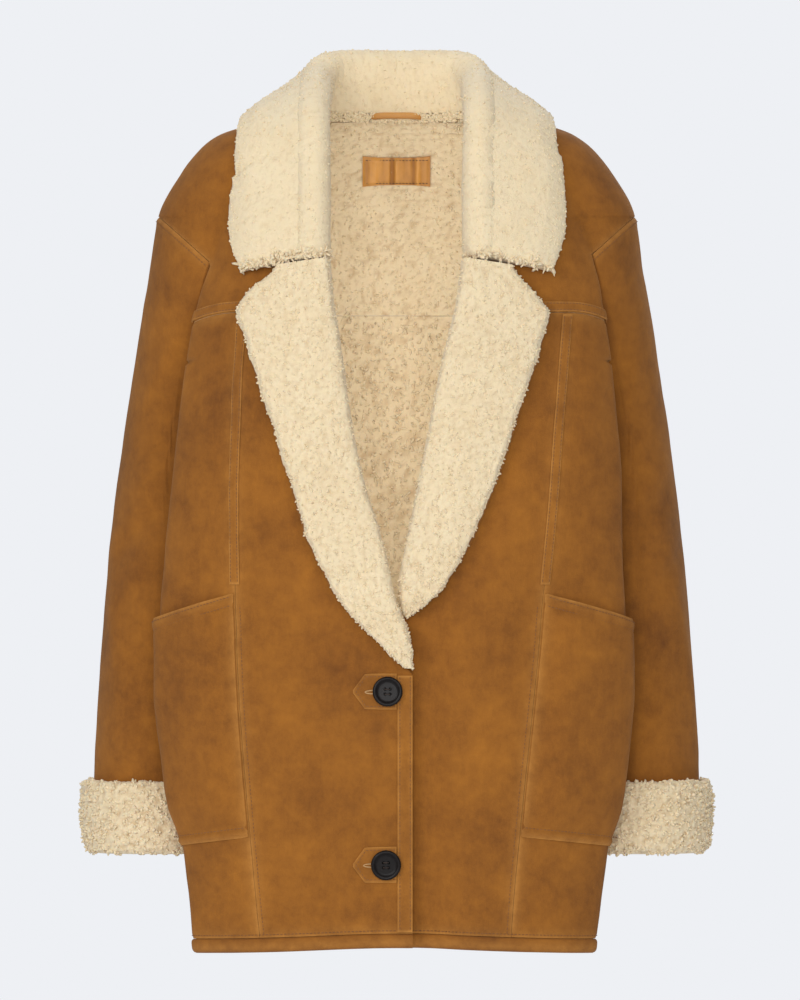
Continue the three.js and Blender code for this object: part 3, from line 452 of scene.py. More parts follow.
def angleBehind(z, x, side):
    return angleAt(z, x, side, 0.05, 2.4)


def towardArmhole(z, angles, side):
    # Rows near the yoke's seam in front bend down toward the armhole, more and more.
    seam, own = angleAt(z, seamX(z, side), side), np.interp(z, *armholes[side])
    share = np.clip((angles - seam) / (own - seam), 0, 1) ** 2
    fromBelow = smoothStep(yokeBend["below"], coat["yokeSeam"], z)
    near = fromBelow * smoothStep(yokeBend["above"], coat["yokeSeam"], z)
    low = z - yokeBend["drop"] * share * near
    return low, angles + share * (np.interp(low, *armholes[side]) - own)


def rowsOn(surface, z, start, end, side, count=110, bent=False):
    angles = start[:, None] + (end - start)[:, None] * np.linspace(0, 1, count)
    z = z[:, None] + 0 * angles
    if bent:
        z, angles = towardArmhole(z, angles, side)
    return placesOn(surface, z, angles, side)


def joined(first, second, skip=1):
    return tuple(np.concatenate([a, b[:, skip:]], axis=1) for a, b in zip(first, second))


shortRow = 40  # millimetres: on rows shorter than this, the places near the ends close up


def evenRows(places, gaps, step, edge=(0, 0.8, 1.8, 3.2, 5.2)):
    # The same number of places on every row: close together near both ends, and even between.
    points, normals = places
    hops = np.linalg.norm(np.diff(points, axis=1), axis=2)
    lengths = lengthsAlong(points, 1)
    whole = lengths[:, -1:]
    edges = np.array(edge) * np.minimum(1, whole / shortRow)
    count = max(3, int(whole.mean() / step))
    start, end = gaps[0] + edges, whole - gaps[1] - edges
    middle = mix(start[:, -1:], end[:, -1:], np.linspace(0, 1, count)[1:-1])
    target = np.concatenate([start, middle, end[:, ::-1]], axis=1)
    i = np.clip((lengths[:, None, :] <= target[:, :, None]).sum(-1) - 1, 0, hops.shape[1] - 1)
    hop = np.maximum(np.take_along_axis(hops, i, 1), 1e-6)
    t = ((target - np.take_along_axis(lengths, i, 1)) / hop)[..., None]
    return tuple(
        mix(np.take_along_axis(a, i[..., None], 1), np.take_along_axis(a, i[..., None] + 1, 1), t)
        for a in (points, normals)
    )


def fromEdges(points):
    # How far each place on a grid is from the first and last row and column, along the grid.
    across, down = lengthsAlong(points, 1), lengthsAlong(points, 0)
    return {"bottom": down, "top": down[-1:] - down, "start": across, "end": across[:, -1:] - across}


# Materials


def tint(red, green, blue):
    # A colour as it shows on a screen, from 0 to 255, in the renderer's own numbers.
    screen = np.array([red, green, blue]) / 255
    return (*np.where(screen > 0.04045, ((screen + 0.055) / 1.055) ** 2.4, screen / 12.92), 1.0)


class Socket:
    # One output of a material's nodes, with the usual arithmetic.
    def __init__(self, shader, output):
        self.shader, self.output = shader, output

    def __add__(self, other):
        return self.shader.maths("ADD", self, other)

    def __sub__(self, other):
        return self.shader.maths("SUBTRACT", self, other)

    def __rsub__(self, other):
        return self.shader.maths("SUBTRACT", other, self)

    def __mul__(self, other):
        return self.shader.maths("MULTIPLY", self, other)

    __radd__ = __add__
    __rmul__ = __mul__


class Shader:
    def __init__(self, name, **surface):
        self.material = bpy.data.materials.new(name)
        self.material.use_nodes = True
        self.tree = self.material.node_tree
        self.surface = self.tree.nodes["Principled BSDF"]
        for key, value in surface.items():
            self.surface.inputs[key.replace("_", " ")].default_value = value

    def node(self, kind, settings, sockets, output=0):
        node = self.tree.nodes.new(kind)
        for key, value in settings.items():
            setattr(node, key, value)
        for key, value in sockets.items():
            self.feed(node.inputs[key], value)
        return Socket(self, node.outputs[output])

    def feed(self, target, value):
        if isinstance(value, Socket):
            self.tree.links.new(value.output, target)
        else:
            target.default_value = value

    def maths(self, operation, first, second):
        return self.node("ShaderNodeMath", {"operation": operation}, {0: first, 1: second})

    def place(self, scale=(1, 1, 1)):
        place = self.node("ShaderNodeTexCoord", {}, {}, "Object")
        return self.node("ShaderNodeMapping", {}, {"Vector": place, "Scale": scale})

    def noise(self, place, size, detail=2, roughness=0.55):
        # Cloudy values round 0.5, with patches of about that size in millimetres.
        sockets = {"Vector": place, "Scale": 1000 / size, "Detail": detail, "Roughness": roughness}
        return self.node("ShaderNodeTexNoise", {}, sockets)

    def shade(self, name):
        return self.node("ShaderNodeAttribute", {"attribute_name": name}, {}, "Fac")

    def blend(self, factor, first, second):
        settings = {"data_type": "RGBA", "clamp_factor": True}
        return self.node("ShaderNodeMix", settings, {0: factor, 6: first, 7: second}, 2)

    def finish(self, colour, height=None, depth=0.0, roughness=None):
        self.feed(self.surface.inputs["Base Color"], colour)
        if height is not None:
            bump = self.node("ShaderNodeBump", {}, {"Height": height, "Distance": depth, "Strength": 1.0})
            self.feed(self.surface.inputs["Normal"], bump)
        if roughness is not None:
            self.feed(self.surface.inputs["Roughness"], roughness)
        return self.material


suedeLook = {
    "dark": tint(104, 57, 9),
    "light": tint(176, 111, 30),
    "edge": tint(206, 146, 72),
    "cloud": 0.85,
    "patch": 0.7,
    "streak": 0.16,
    "grain": 0.35,
}


def makeSuede(name, look, brighter=0.0):
    # Soft clouds and smaller patches, short streaks of nap, a fine grain, and paler worn edges; painted shade
    # darkens it where a piece carries that attribute.
    glow = tint(255, 214, 150)
    shader = Shader(name, Roughness=0.95, Sheen_Weight=0.08, Sheen_Roughness=0.45, Sheen_Tint=glow)
    place = shader.place()
    cloud = shader.noise(place, 70, 2)
    patch = shader.noise(place, 13, 4, 0.65)
    streak = shader.noise(shader.place((1, 1, 0.35)), 3.2, 2)
    grain = shader.noise(place, 0.9, 3, 0.7)
    tone = look["cloud"] * (cloud - 0.5) + look["patch"] * (patch - 0.5)
    tone = tone + look["streak"] * (streak - 0.5) + look["grain"] * (grain - 0.5)
    # Painted shade: darker wherever the piece carries shade in this attribute
    tone = tone - shader.shade("paintedShade")
    body = shader.blend(tone + (0.46 + brighter), look["dark"], look["light"])
    colour = shader.blend(shader.shade("wearAndPaintedLight") * (0.5 + 0.9 * (patch - 0.5)), body, look["edge"])
    return shader.finish(colour, 0.7 * grain + 0.3 * streak + 0.4 * patch, 0.0005)


# Painted shade: the root colour goes in the hollows between tufts and at the curls' roots
fleeceLook = {"root": tint(176, 136, 84), "tip": tint(239, 221, 185), "deep": tint(214, 187, 142)}


def makeFleece(name, look, bright):
    # Painted shade: darker between the tufts and at the roots of the curls, where shade falls, with a slow
    # change of tone.
    shader = Shader(name, Roughness=1.0, Sheen_Weight=0.25, Sheen_Roughness=0.6, Subsurface_Weight=0.25)
    shader.surface.inputs["Subsurface Radius"].default_value = (0.004, 0.003, 0.002)
    place = shader.place()
    slow = shader.noise(place, 38, 2)
    fine = shader.noise(place, 1.1, 2)
    curl = shader.noise(place, 3.4, 2, 0.7)
    tall = shader.shade("wool") + (0.2 * (fine - 0.5) + 0.36 * (curl - 0.5) + bright)
    colour = shader.blend(tall, look["root"], look["tip"])
    colour = shader.blend(0.45 * (slow - 0.28), colour, look["deep"])
    return shader.finish(colour, 0.5 * fine + curl, 0.0008)


def makeHorn(name):
    shader = Shader(name, Roughness=0.42, Coat_Weight=0.05, Coat_Roughness=0.2, Specular_IOR_Level=0.18)
    cloud = shader.noise(shader.place((1, 1, 0.5)), 9, 4)
    return shader.finish(shader.blend(cloud, tint(6, 5, 5), tint(26, 19, 17)))


def makeLeather(name):
    shader = Shader(name, Sheen_Weight=0.05)
    place = shader.place()
    patch = shader.noise(place, 12, 3)
    grain = shader.noise(place, 0.9, 3)
    # Paler and glossier where this attribute is high: painted light along the top of the hanging loop, and
    # paler raised wrinkles on the neck patch
    tall = shader.shade("wearAndPaintedLight")
    colour = shader.blend(0.5 * patch + 0.7 * tall, tint(140, 86, 30), tint(220, 158, 78))
    return shader.finish(colour, grain + 0.6 * patch, 0.0004, 0.62 - 0.3 * tall)


def makeThread(name, dark, light):
    shader = Shader(name, Roughness=0.7)
    return shader.finish(shader.blend(shader.noise(shader.place(), 4, 2), dark, light))


def makeFloor(name):
    shader = Shader(name, Roughness=0.9)
    cloud = shader.noise(shader.place(), 900, 1)
    return shader.finish(shader.blend(cloud, tint(236, 238, 242), tint(242, 243, 246)))


suede = makeSuede("suede", suedeLook)
suedeEdge = makeSuede("suede_edge", suedeLook, 0.03)
fleece = makeFleece("fleece", fleeceLook, 0.30)
# Painted light: the inside wool is a paler copy of the fleece, making up for the less light that reaches
# inside the coat
innerFleece = makeFleece("inner_fleece", fleeceLook, 0.5)
curlFleece = makeFleece("curl_fleece", fleeceLook, 0.3)
horn = makeHorn("horn")
tanLeather = makeLeather("tan_leather")
thread = makeThread("thread", tint(96, 56, 22), tint(150, 98, 46))
paleThread = makeThread("pale_thread", tint(168, 126, 78), tint(206, 168, 116))
darkThread = makeThread("dark_thread", tint(40, 30, 26), tint(78, 62, 52))
print("materials made")

# Meshes


def addObject(name, data):
    thing = bpy.data.objects.new(name, data)
    bpy.context.scene.collection.objects.link(thing)
    return thing


def faceQuads(index):
    return np.stack([index[:-1, :-1], index[:-1, 1:], index[1:, 1:], index[1:, :-1]], -1).reshape(-1, 4)


def closedFaces(rows, columns, ring=True):
    # The faces of a grid whose rows close on themselves and, in a ring, its columns too.
    row, column = np.arange(rows + ring)[:, None] % rows, np.arange(columns + 1)[None] % columns
    return faceQuads(row * columns + column)


def volumeOf(points, faces):
    corners = points[faces]
    middle = corners[:, 0]
    total = 0
    for k in range(1, faces.shape[1] - 1):
        total += np.einsum("ij,ij->", middle, np.cross(corners[:, k], corners[:, k + 1]))
    return total / 6


def addPiece(name, points, faces, materials, kinds=None, shades=None, sharp=60):
    if volumeOf(points, faces) < 0:
        faces = faces[:, ::-1]
    mesh = bpy.data.meshes.new(name)
    mesh.from_pydata((points * 0.001).tolist(), [], faces.tolist())
    for material in materials:
        mesh.materials.append(material)
    if kinds is not None:
        mesh.polygons.foreach_set("material_index", kinds.astype(np.int32))
    for key, values in (shades or {}).items():
        shade = mesh.attributes.new(key, "FLOAT", "POINT")
        shade.data.foreach_set("value", values.ravel().astype(np.float32))
    mesh.polygons.foreach_set("use_smooth", np.ones(len(faces), bool))
    mesh.set_sharp_from_angle(angle=math.radians(sharp))
    mesh.update()
    piece = addObject(name, mesh)
    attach(piece, "root")
    return piece


def addSheet(name, outer, inner, materials, shades=None, sharp=60, wallKind=0):
    # Two grids back to back, with walls round their edges: outside, inside, then the walls.
    rows, columns = outer.shape[:2]
    index = np.arange(rows * columns).reshape(rows, columns)
    rim = np.concatenate([index[0, :-1], index[:-1, -1], index[-1, :0:-1], index[:0:-1, 0]])
    after = np.roll(rim, -1)
    walls = np.stack([after, rim, rim + index.size, after + index.size], -1)
    quads = faceQuads(index)
    faces = np.concatenate([quads, quads[:, ::-1] + index.size, walls])
    kinds = np.repeat([0, 1, wallKind], [len(quads), len(quads), len(walls)])
    points = np.concatenate([outer.reshape(-1, 3), inner.reshape(-1, 3)])
    doubled = {key: np.concatenate([a.ravel(), b.ravel()]) for key, (a, b) in (shades or {}).items()}
    return addPiece(name, points, faces, materials, kinds, doubled, sharp)


def cutOf(points):
    # The flat size of a grid of cloth: its longest row and column, and the area of its cells.
    across = np.linalg.norm(np.diff(points, axis=1), axis=2).sum(1).max() / 1000
    down = np.linalg.norm(np.diff(points, axis=0), axis=2).sum(0).max() / 1000
    a, b = points[1:, 1:] - points[:-1, :-1], points[1:, :-1] - points[:-1, 1:]
    area = np.linalg.norm(np.cross(a, b), axis=2).sum() / 2e6
    return across, down, area


def declareCloth(node, points, restsOn):
    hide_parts(node)
    width, length, area = cutOf(points)
    flat = (max(width, 0.01), max(length, 0.01))
    area = min(max(area, 0.31 * flat[0] * flat[1]), flat[0] * flat[1])


sewnEdge = {"dip": 0.9, "width": 2.4, "wearAndPaintedLight": 4.0}
innerTuft = 5.5  # millimetres between the tufts of the wool inside


def panel(
    node,
    places,
    sewn,
    restsOn,
    thickness=coat["wall"],
    lift=0.0,
    inside=innerFleece,
    relief=0.0,
    wallKind=0,
    paintedShade=None,
):
    # A sheepskin panel: its suede dips at each sewn edge, and its wool lies a wall's thickness in.
    points, normals = places
    distance = np.min([fromEdges(points)[edge] for edge in sewn], axis=0)
    dip = sewnEdge["dip"] * np.exp(-((distance / sewnEdge["width"]) ** 2))
    wearAndPaintedLight = 0.8 * np.exp(-distance / sewnEdge["wearAndPaintedLight"])
    outer = raised(places, lift - dip)
    height = tufts(points, innerTuft, 40) if relief else 1
    inner = raised(places, lift - thickness + relief * (1 - height))
    none = 0 * wearAndPaintedLight
    # Painted shade on the wool side: darker in the hollows between its tufts
    shades = {"wearAndPaintedLight": (wearAndPaintedLight, none), "wool": (none, (0.75 * height if relief else 0.5) + none)}
    # Painted shade on the suede side, where given
    if paintedShade is not None:
        shades["paintedShade"] = (paintedShade, none)
    piece = addSheet(node + "_skin", outer, inner, [suede, inside], shades, wallKind=wallKind)
    declareCloth(node, points, restsOn)
    return inner, -normals, outer


def lockMesh(name, roots, normals, look):
    # Small blunt locks of wool: each runs out from its root, leans to a random side and curls over.
    count = len(roots)
    length = look["length"] * rng.uniform(0.65, 1.35, count)[:, None]
    width = look["width"] * rng.uniform(0.75, 1.25, count)[:, None]
    lean = unit(np.cross(normals, rng.normal(size=(count, 3))))
    direction = unit(normals + look["lean"] * lean * rng.uniform(0.3, 1, count)[:, None])
    bend = look["curl"] * unit(np.cross(direction, rng.normal(size=(count, 3))))
    first = unit(np.cross(direction, bend))
    second = np.cross(first, direction)
    start = roots - 0.8 * normals
    rings = []
    for t, share in ((0, 0.9), (0.5, 1.0), (0.85, 0.8)):
        middle = start + length * (direction * t + bend * t * t)
        for turn in np.arange(4) * math.tau / 4:
            rings.append(middle + width * share * (first * math.cos(turn) + second * math.sin(turn)))
    rings.append(start + length * (direction + bend) + 0.15 * width * direction)
    points = np.stack(rings, axis=1).reshape(-1, 3)
    sides = [(r + k, r + (k + 1) % 4, r + 4 + (k + 1) % 4, r + 4 + k) for r in (0, 4) for k in range(4)]
    ends = [(0, 2, 1), (0, 3, 2)] + [(8 + k, 8 + (k + 1) % 4, 12) for k in range(4)]
    triangles = np.array([t for a, b, c, d in sides for t in ((a, b, c), (a, c, d))] + ends)
    faces = (triangles[None] + len(rings) * np.arange(count)[:, None, None]).reshape(-1, 3)
    # Painted shade: each lock is darker at its root and paler toward its tip, with a random tone for each
    # lock
    tone = rng.uniform(-0.12, 0.12, count)[:, None]
    wool = np.clip(np.array([look["root"]] * 4 + [0.6] * 4 + [0.85] * 4 + [0.95])[None] + tone, 0, 1)
    return addPiece(name, points, faces, [curlFleece], None, {"wool": wool}, 180)


def scatter(points, normals, density, weight):
    # Random places on a grid, so many to a square millimetre, times a weight for each cell.
    a, b = points[1:, 1:] - points[:-1, :-1], points[1:, :-1] - points[:-1, 1:]
    area = np.linalg.norm(np.cross(a, b), axis=2) / 2
    wanted = density * area * weight[:-1, :-1]
    count = np.floor(wanted + rng.random(wanted.shape)).astype(int).ravel()
    r, c = np.divmod(np.repeat(np.arange(count.size), count), points.shape[1] - 1)
    u, v = rng.random((2, len(r), 1))

    def between(grid):
        return mix(mix(grid[r, c], grid[r, c + 1], u), mix(grid[r + 1, c], grid[r + 1, c + 1], u), v)

    return between(points), unit(between(normals))


def gridNormals(points, toward):
    # Across the rows and the columns of a grid, on the side that the given directions lie.
    normal = unit(np.cross(np.gradient(points, axis=1), np.gradient(points, axis=0)))
    return normal * np.sign((normal * toward).sum(-1).mean())


# Lines on a front


def sideName(side):
    return "left" if side > 0 else "right"


def seamX(z, side):
    return read(sideFrontSeam, sideName(side), z)


def rollX(z, side):
    return read(lapelLines, sideName(side) + "Roll", z)


def lapelEdgeX(z, side):
    return read(lapelLines, sideName(side) + "Edge", z)


def rollThickness(z, side):
    return np.minimum(coat["collarWall"], 0.6 * side * (lapelEdgeX(z, side) - rollX(z, side)))


def frontEdge(z, side):
    # Straight below the break, then behind the roll.
    if side < 0:
        turned = rollX(z, side) - rollThickness(z, side) - coat["seam"]
        return np.where(z <= coat["breakPoint"], coat["overlapEdge"], turned)
    turned = rollX(z, side) + coat["collarWall"] + coat["seam"]
    turned = mix(coat["hiddenEdge"], turned, smoothStep(-500, -450, z))
    return np.where(z <= coat["breakPoint"], coat["hiddenEdge"], turned)


def tuckedIn(places, side):
    # The left front lies behind the right one where they overlap.
    if side < 0:
        return places
    points, normals = places
    x, z = points[..., 0], points[..., 2]
    depth = tuck["depth"] + tuck["hemDepth"] * smoothStep(tuck["hemStart"], coat["hemTop"], z)
    shift = depth * smoothStep(tuck["none"], tuck["full"], z) * smoothStep(tuck["outer"], tuck["inner"], x)
    return points + vectors(0 * shift, shift, 0 * shift), normals


# Fronts, side pieces and back

grid = {"panel": 5.0, "yoke": 3.8, "sleeve": 6.0, "wool": 2.5}  # millimetres from row to row
halfSeam = coat["seam"] / 2
panelHeights = spread(coat["hemTop"] + coat["seam"], coat["yokeSeam"] - halfSeam, grid["panel"])


def middleFrontRows(z, side):
    start, end = angleAt(z, frontEdge(z, side), side), angleAt(z, seamX(z, side), side)
    places = tuckedIn(rowsOn(bodySurface, z, start, end, side), side)
    return evenRows(places, (0, halfSeam), grid["panel"])


def sideFrontRows(z, side):
    start, end = angleAt(z, seamX(z, side), side), sideLimit(z, side, -1)
    rows = rowsOn(bodySurface, z, start, end, side, bent=True)
    return evenRows(rows, (halfSeam, coat["seam"]), grid["panel"])


def backRows(z, step):
    behind = np.full(len(z), math.pi / 2)
    right = rowsOn(bodySurface, z, sideLimit(z, -1, 1), behind, -1)
    left = rowsOn(bodySurface, z, behind, sideLimit(z, 1, 1), 1)
    return evenRows(joined(right, left), (coat["seam"], coat["seam"]), step)


allEdges = ("top", "bottom", "start", "end")
for side in (-1, 1):
    name = sideName(side)
    yoke = "front_yoke_" + name
    panel("front_" + name, middleFrontRows(panelHeights, side), ("top", "bottom", "end"), [yoke])
    panel("side_front_" + name, sideFrontRows(panelHeights, side), allEdges, [yoke])
backSkin = panel("back", backRows(panelHeights, grid["panel"]), allEdges, ["back_yoke"], relief=1.5)
print("panels made")

# The hem: a rolled edge that stands a little proud of the panels above it

hemRoll = tableOf("place z lift depth", [
    (0, coat["hemTop"], -1.2, 7.6),
    (1, coat["hemTop"] - 1.2, 0.6, 9.8),
    (2, coat["hemTop"] - 4, 1.4, 10.8),
    (3, coat["hemTop"] - 8.5, 1.5, 11),
    (4, coat["hemTop"] - 12, 0.3, 9.4),
    (5, coat["hemTop"] - 13.6, -2.2, 6.6),
])


def frontHemRows(z, side):
    start, end = angleAt(z, frontEdge(z, side), side), sideLimit(z, side, -1)
    places = tuckedIn(rowsOn(bodySurface, z, start, end, side), side)
    return evenRows(places, (0, coat["seam"]), grid["panel"])


def hem(node, rowsAt):
    place = np.linspace(0, 5, 16)
    z, lift, depth = (read(hemRoll, key, place, "place") for key in ("z", "lift", "depth"))
    places = rowsAt(z)
    ends = fromEdges(places[0])
    rounded = 1.4 * np.exp(-((np.minimum(ends["start"], ends["end"]) / 3) ** 2))
    puff = 0.5 * smoothNoise(places[0], 24, 7)
    outer = raised(places, lift[:, None] - rounded + puff)
    inner = raised(places, (lift - depth)[:, None])
    wearAndPaintedLight = 0.05 + 0.35 * np.exp(-((place - 3) ** 2))[:, None] + 0 * puff
    shades = {"wearAndPaintedLight": (wearAndPaintedLight, 0 * wearAndPaintedLight), "wool": (0 * wearAndPaintedLight, 0.5 + 0 * wearAndPaintedLight)}
    piece = addSheet(node + "_skin", outer, inner, [suede, innerFleece], shades)
    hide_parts(node)
    cutOf(places[0])[0]


for side in (-1, 1):
    name = sideName(side)
    resting = ["front_" + name, "side_front_" + name]
    hem("hem_front_" + name, lambda z, side=side: frontHemRows(z, side))
hem("hem_back", lambda z: backRows(z, grid["panel"]))
print("hems made")

# The yokes, over the shoulders

lowYoke = spread(coat["yokeSeam"] + halfSeam, -88, grid["yoke"])
yokeHeights = np.concatenate([
    lowYoke[:-4],
    np.linspace(-87.5, -26, 24),
    np.linspace(-24, -1, 13),
    np.linspace(0, coat["yokeTop"], 26),
])


def shoulderRows(z, start, side, way):
    # Along the body to the crease of the arm, then out over the shoulder.
    first, last = armLimits(z, side, way)
    along = rowsOn(bodySurface, z, start, sideLimit(z, side, way), side, bent=way < 0)
    over = rowsOn(armSurface, z, first, last, side, 70)
    hasArm = (deepest(z, side)[1] < 0) & (np.abs(last - first) > 0.01)
    kept = hasArm[:, None, None]
    over = tuple(np.where(kept, arm, body[:, -1:]) for arm, body in zip(over, along))
    return joined(along, over)


def frontYokeRows(z, side):
    return shoulderRows(z, angleAt(z, frontEdge(z, side), side), side, -1)


def backYokeRows(z):
    behind = np.full(len(z), math.pi / 2)
    right = tuple(a[:, ::-1] for a in shoulderRows(z, behind, -1, 1))
    return joined(right, shoulderRows(z, behind, 1, 1))


for side in (-1, 1):
    places = evenRows(frontYokeRows(yokeHeights, side), (0, coat["seam"]), grid["yoke"])
    panel("front_yoke_" + sideName(side), places, ("top", "bottom", "end"), ["back_yoke"], wallKind=1)
places = evenRows(backYokeRows(yokeHeights), (coat["seam"], coat["seam"]), grid["yoke"])
resting = ["front_yoke_right", "front_yoke_left"]
yokeSkin = panel("back_yoke", places, allEdges, resting, relief=1.2, wallKind=1)
print("yokes made")

# Sleeves, with a line for each angle round the arm

sleeveUnder = 4.2  # how far a sleeve's edge runs in under the body's


def sleeveTops(angles, side):
    # The height at which a line up the sleeve meets the body or the seam across the shoulder.
    def past(z, a):
        points = armSurface(z, a, side)
        inward = shoulderSeam["outer"] - np.abs(points[..., 0])
        seam = shoulderSeam["top"] - inward * shoulderSeam["slope"]
        return np.maximum(bodyField(points, z, side) - sleeveUnder, z - seam)

    heights = np.arange(-310.0, -60, 2)[:, None]
    gone = past(heights, angles[None]) >= 0
    meets = gone[1:] & ~gone[:-1]
    last = len(meets) - meets[::-1].argmax(0)
    top = heights[last, 0]
    return crossing(lambda z: past(z, angles), top - 2, top)


def shoulderCorner(side, way):
    # The arm's angle where the seam across the shoulder ends at the crease with the body.
    z = np.linspace(-170, -100, 701)
    first, last = armLimits(z, side, way)
    return float(first[(np.abs(last - first) > 1e-6).argmax()])


sleeveTop = {}
for side in (-1, 1):
    start = float(armLimits(np.array([underarms[side]["z"] + 0.02]), side, -1)[0][0])
    angles = np.linspace(start + 0.004, start + math.tau - 0.004, 98)
    meets = [shoulderCorner(side, way) for way in (-1, 1)]
    close = np.array([-0.04, -0.025, -0.012, -0.004, 0.004, 0.012, 0.025, 0.04])
    angles = np.sort(np.concatenate([angles, meets[0] + close, meets[1] + close]))
    tops = sleeveTops(angles, side)
    sleeveTop[side] = (angles, tops)
    level = spread(0, 1, grid["sleeve"] / 600, np.array([0, 0.7, 1.6, 2.9, 4.8]) / 550)[:, None]
    z = mix(coat["sleeveEnd"], tops - coat["seam"], level)
    places = placesOn(armSurface, z, angles[None] + 0 * z, side)
    below = fromEdges(places[0])["top"]
    onSeam = smoothStep(meets[0] - 0.03, meets[0] + 0.03, angles)
    onSeam = onSeam * smoothStep(meets[1] + 0.03, meets[1] - 0.03, angles)
    ridge = 0.9 * np.exp(-(((below - 3.4) / 2.6) ** 2)) * onSeam
    facingFront = smoothStep(-2.1, -1.8, angles) * smoothStep(0.5, -0.5, angles)
    sunk = 3.2 * np.exp(-((below / 22) ** 2)) * (1 - onSeam) * facingFront
    # Painted shade: darker near the sleeve's crease with the body, and on its inner side, which faces the
    # body
    inward = smoothStep(-1.7, -2.5, angles) + smoothStep(2.1, 2.6, angles)
    paintedShade = 0.5 * np.exp(-below / 46) * (1 - onSeam) + 0.2 * inward + 0 * below
    resting = ["front_yoke_" + sideName(side)]
    panel("sleeve_" + sideName(side), places, ("top", "start", "end"), resting, lift=ridge - sunk, paintedShade=paintedShade)
print("sleeves made")

# Turned-back cuffs, as a closed profile carried round the arm

cuffSection = np.array([
    (2, -625.5), (6, -624.4), (9.5, -625.6), (11.6, -630), (12.6, -640), (13, -655), (12.8, -670),
    (11.6, -681), (9.4, -688.5), (5, -692.8), (0, -694), (-5, -693.4), (-9, -691), (-10.2, -688),
    (-9, -686.6), (-4, -686.5), (0.2, -686.5), (0.6, -680), (0.5, -655), (0.4, -632), (-1, -629.5),
], float)
cuffTurned = 0.09  # metres from a cuff's fold to its edge
cuffLook = {"relief": 2.9, "tuft": 5.2, "length": 2.4, "width": 1.9, "lean": 1.7, "curl": 0.9}
cuffLook |= {"density": 0.05, "root": 0.3}


def cuffPlaces(side):
    closed = np.concatenate([cuffSection, cuffSection[:1]])
    hops = lengthsAlong(closed)
    at = np.linspace(0, hops[-1], int(hops[-1] / 2.3), endpoint=False)
    out, z = np.interp(at, hops, closed[:, 0]), np.interp(at, hops, closed[:, 1])
    angles = np.linspace(-math.pi, math.pi, 160, endpoint=False)
    wander = vectors(40 * np.cos(angles), 40 * np.sin(angles), 9 * side + 0 * angles)
    ragged = 1.6 * smoothNoise(wander, 9, 5) + 1.0 * smoothNoise(wander, 4, 6)
    heights = z[:, None] + ragged[None] * smoothStep(1, 9, out)[:, None]
    return raised(placesOn(armSurface, heights, angles[None] + 0 * heights, side), out[:, None]), out


for side in (-1, 1):
    flat, out = cuffPlaces(side)
    rolled = np.concatenate([flat[-1:], flat, flat[:1]])
    rolled = np.concatenate([rolled[:, -1:], rolled, rolled[:, :1]], axis=1)
    centre = np.array([side * 231, 40, -655.0])
    away = unit((flat - centre) * [1, 1, 0])
    normals = unit(np.cross(np.gradient(rolled, axis=1), np.gradient(rolled, axis=0)))[1:-1, 1:-1]
    normals *= np.sign((normals * away)[(out > 11)].sum(-1).mean())
    shown = smoothStep(0.5, 6, out)[:, None]
    height = tufts(flat, cuffLook["tuft"], 60 + side)
    points = flat + normals * (cuffLook["relief"] * (height - 0.6) * shown)[..., None]
    # Painted shade: the wool is darker in the hollows between its tufts
    shades = {"wool": 0.15 + 0.6 * height}
    name = "cuff_" + sideName(side)
    faces = closedFaces(*flat.shape[:2])
    cuff = addPiece(name + "_wool", points.reshape(-1, 3), faces, [fleece], None, shades)
    roots, ways = scatter(points, normals, cuffLook["density"], shown + 0 * height)
    curls = lockMesh(name + "_curls", roots, ways, cuffLook)
    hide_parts(name)
    flatSize = (float(np.linalg.norm(np.diff(flat[out.argmax()], axis=0), axis=1).sum() / 1000), cuffTurned)
    resting = ["sleeve_" + sideName(side)]
print("cuffs made")

# Pockets: a second layer on the side piece, with a slanted mouth

pocket = {"innerMouth": -444, "outerMouth": -477, "innerFoot": -673, "outerFoot": -683}
pocket |= {"afterSeam": 1.2, "turn": -0.15, "length": 215}
pocketLift = coat["pocketWall"] + 1.6


def ridgeAlong(distance, ridge, groove):
    # A raised band along an edge, and the sunk line beside it: place and width of each.
    raisedBand = 0.9 * np.exp(-(((distance - ridge[0]) / ridge[1]) ** 2))
    return raisedBand - 0.7 * np.exp(-(((distance - groove[0]) / groove[1]) ** 2))


def pocketGrid(level, across, side):
    # level runs from the foot (0) to the mouth (1), and across from the seam (0) to the side (1).
    mouth = mix(pocket["innerMouth"], pocket["outerMouth"], across)
    foot = mix(pocket["innerFoot"], pocket["outerFoot"], across)
    z = mix(foot, mouth, level)
    start = angleAt(z, seamX(z, side) + side * pocket["afterSeam"], side)
    return placesOn(bodySurface, z, mix(start, pocket["turn"], across), side)


for side in (-1, 1):
    level = spread(0, 1, 0.016, np.array([0, 0.8, 1.8, 3, 4.5, 6.5, 8.5]) / 210)[:, None]
    across = spread(0, 1, 0.026, np.array([0, 0.8, 1.8, 3.2]) / 120)[None]
    places = pocketGrid(level + 0 * across, across + 0 * level, side)
    edges = fromEdges(places[0])
    mouth = ridgeAlong(edges["top"], (5.5, 2.6), (11, 1.5))
    foot = ridgeAlong(edges["bottom"], (4.5, 2.4), (9, 1.4))
    bulge = 1.5 * smoothStep(0, 60, edges["top"]) * smoothStep(0, 60, edges["bottom"])
    flatter = smoothStep(0, 34, edges["start"]) * mix(0.15, 1, smoothStep(0, 40, edges["bottom"]))
    lift = 1.5 + (pocketLift - 1.5 + bulge) * flatter + mouth + foot
    name = sideName(side)
    panel("pocket_" + name, places, allEdges, ["side_front_" + name], lift - 0.7, lift, suede)
print("pockets made")

# Narrow strips sewn over seams and edges

stripLift = coat["stripThickness"] + 1.5 * coat["seam"]


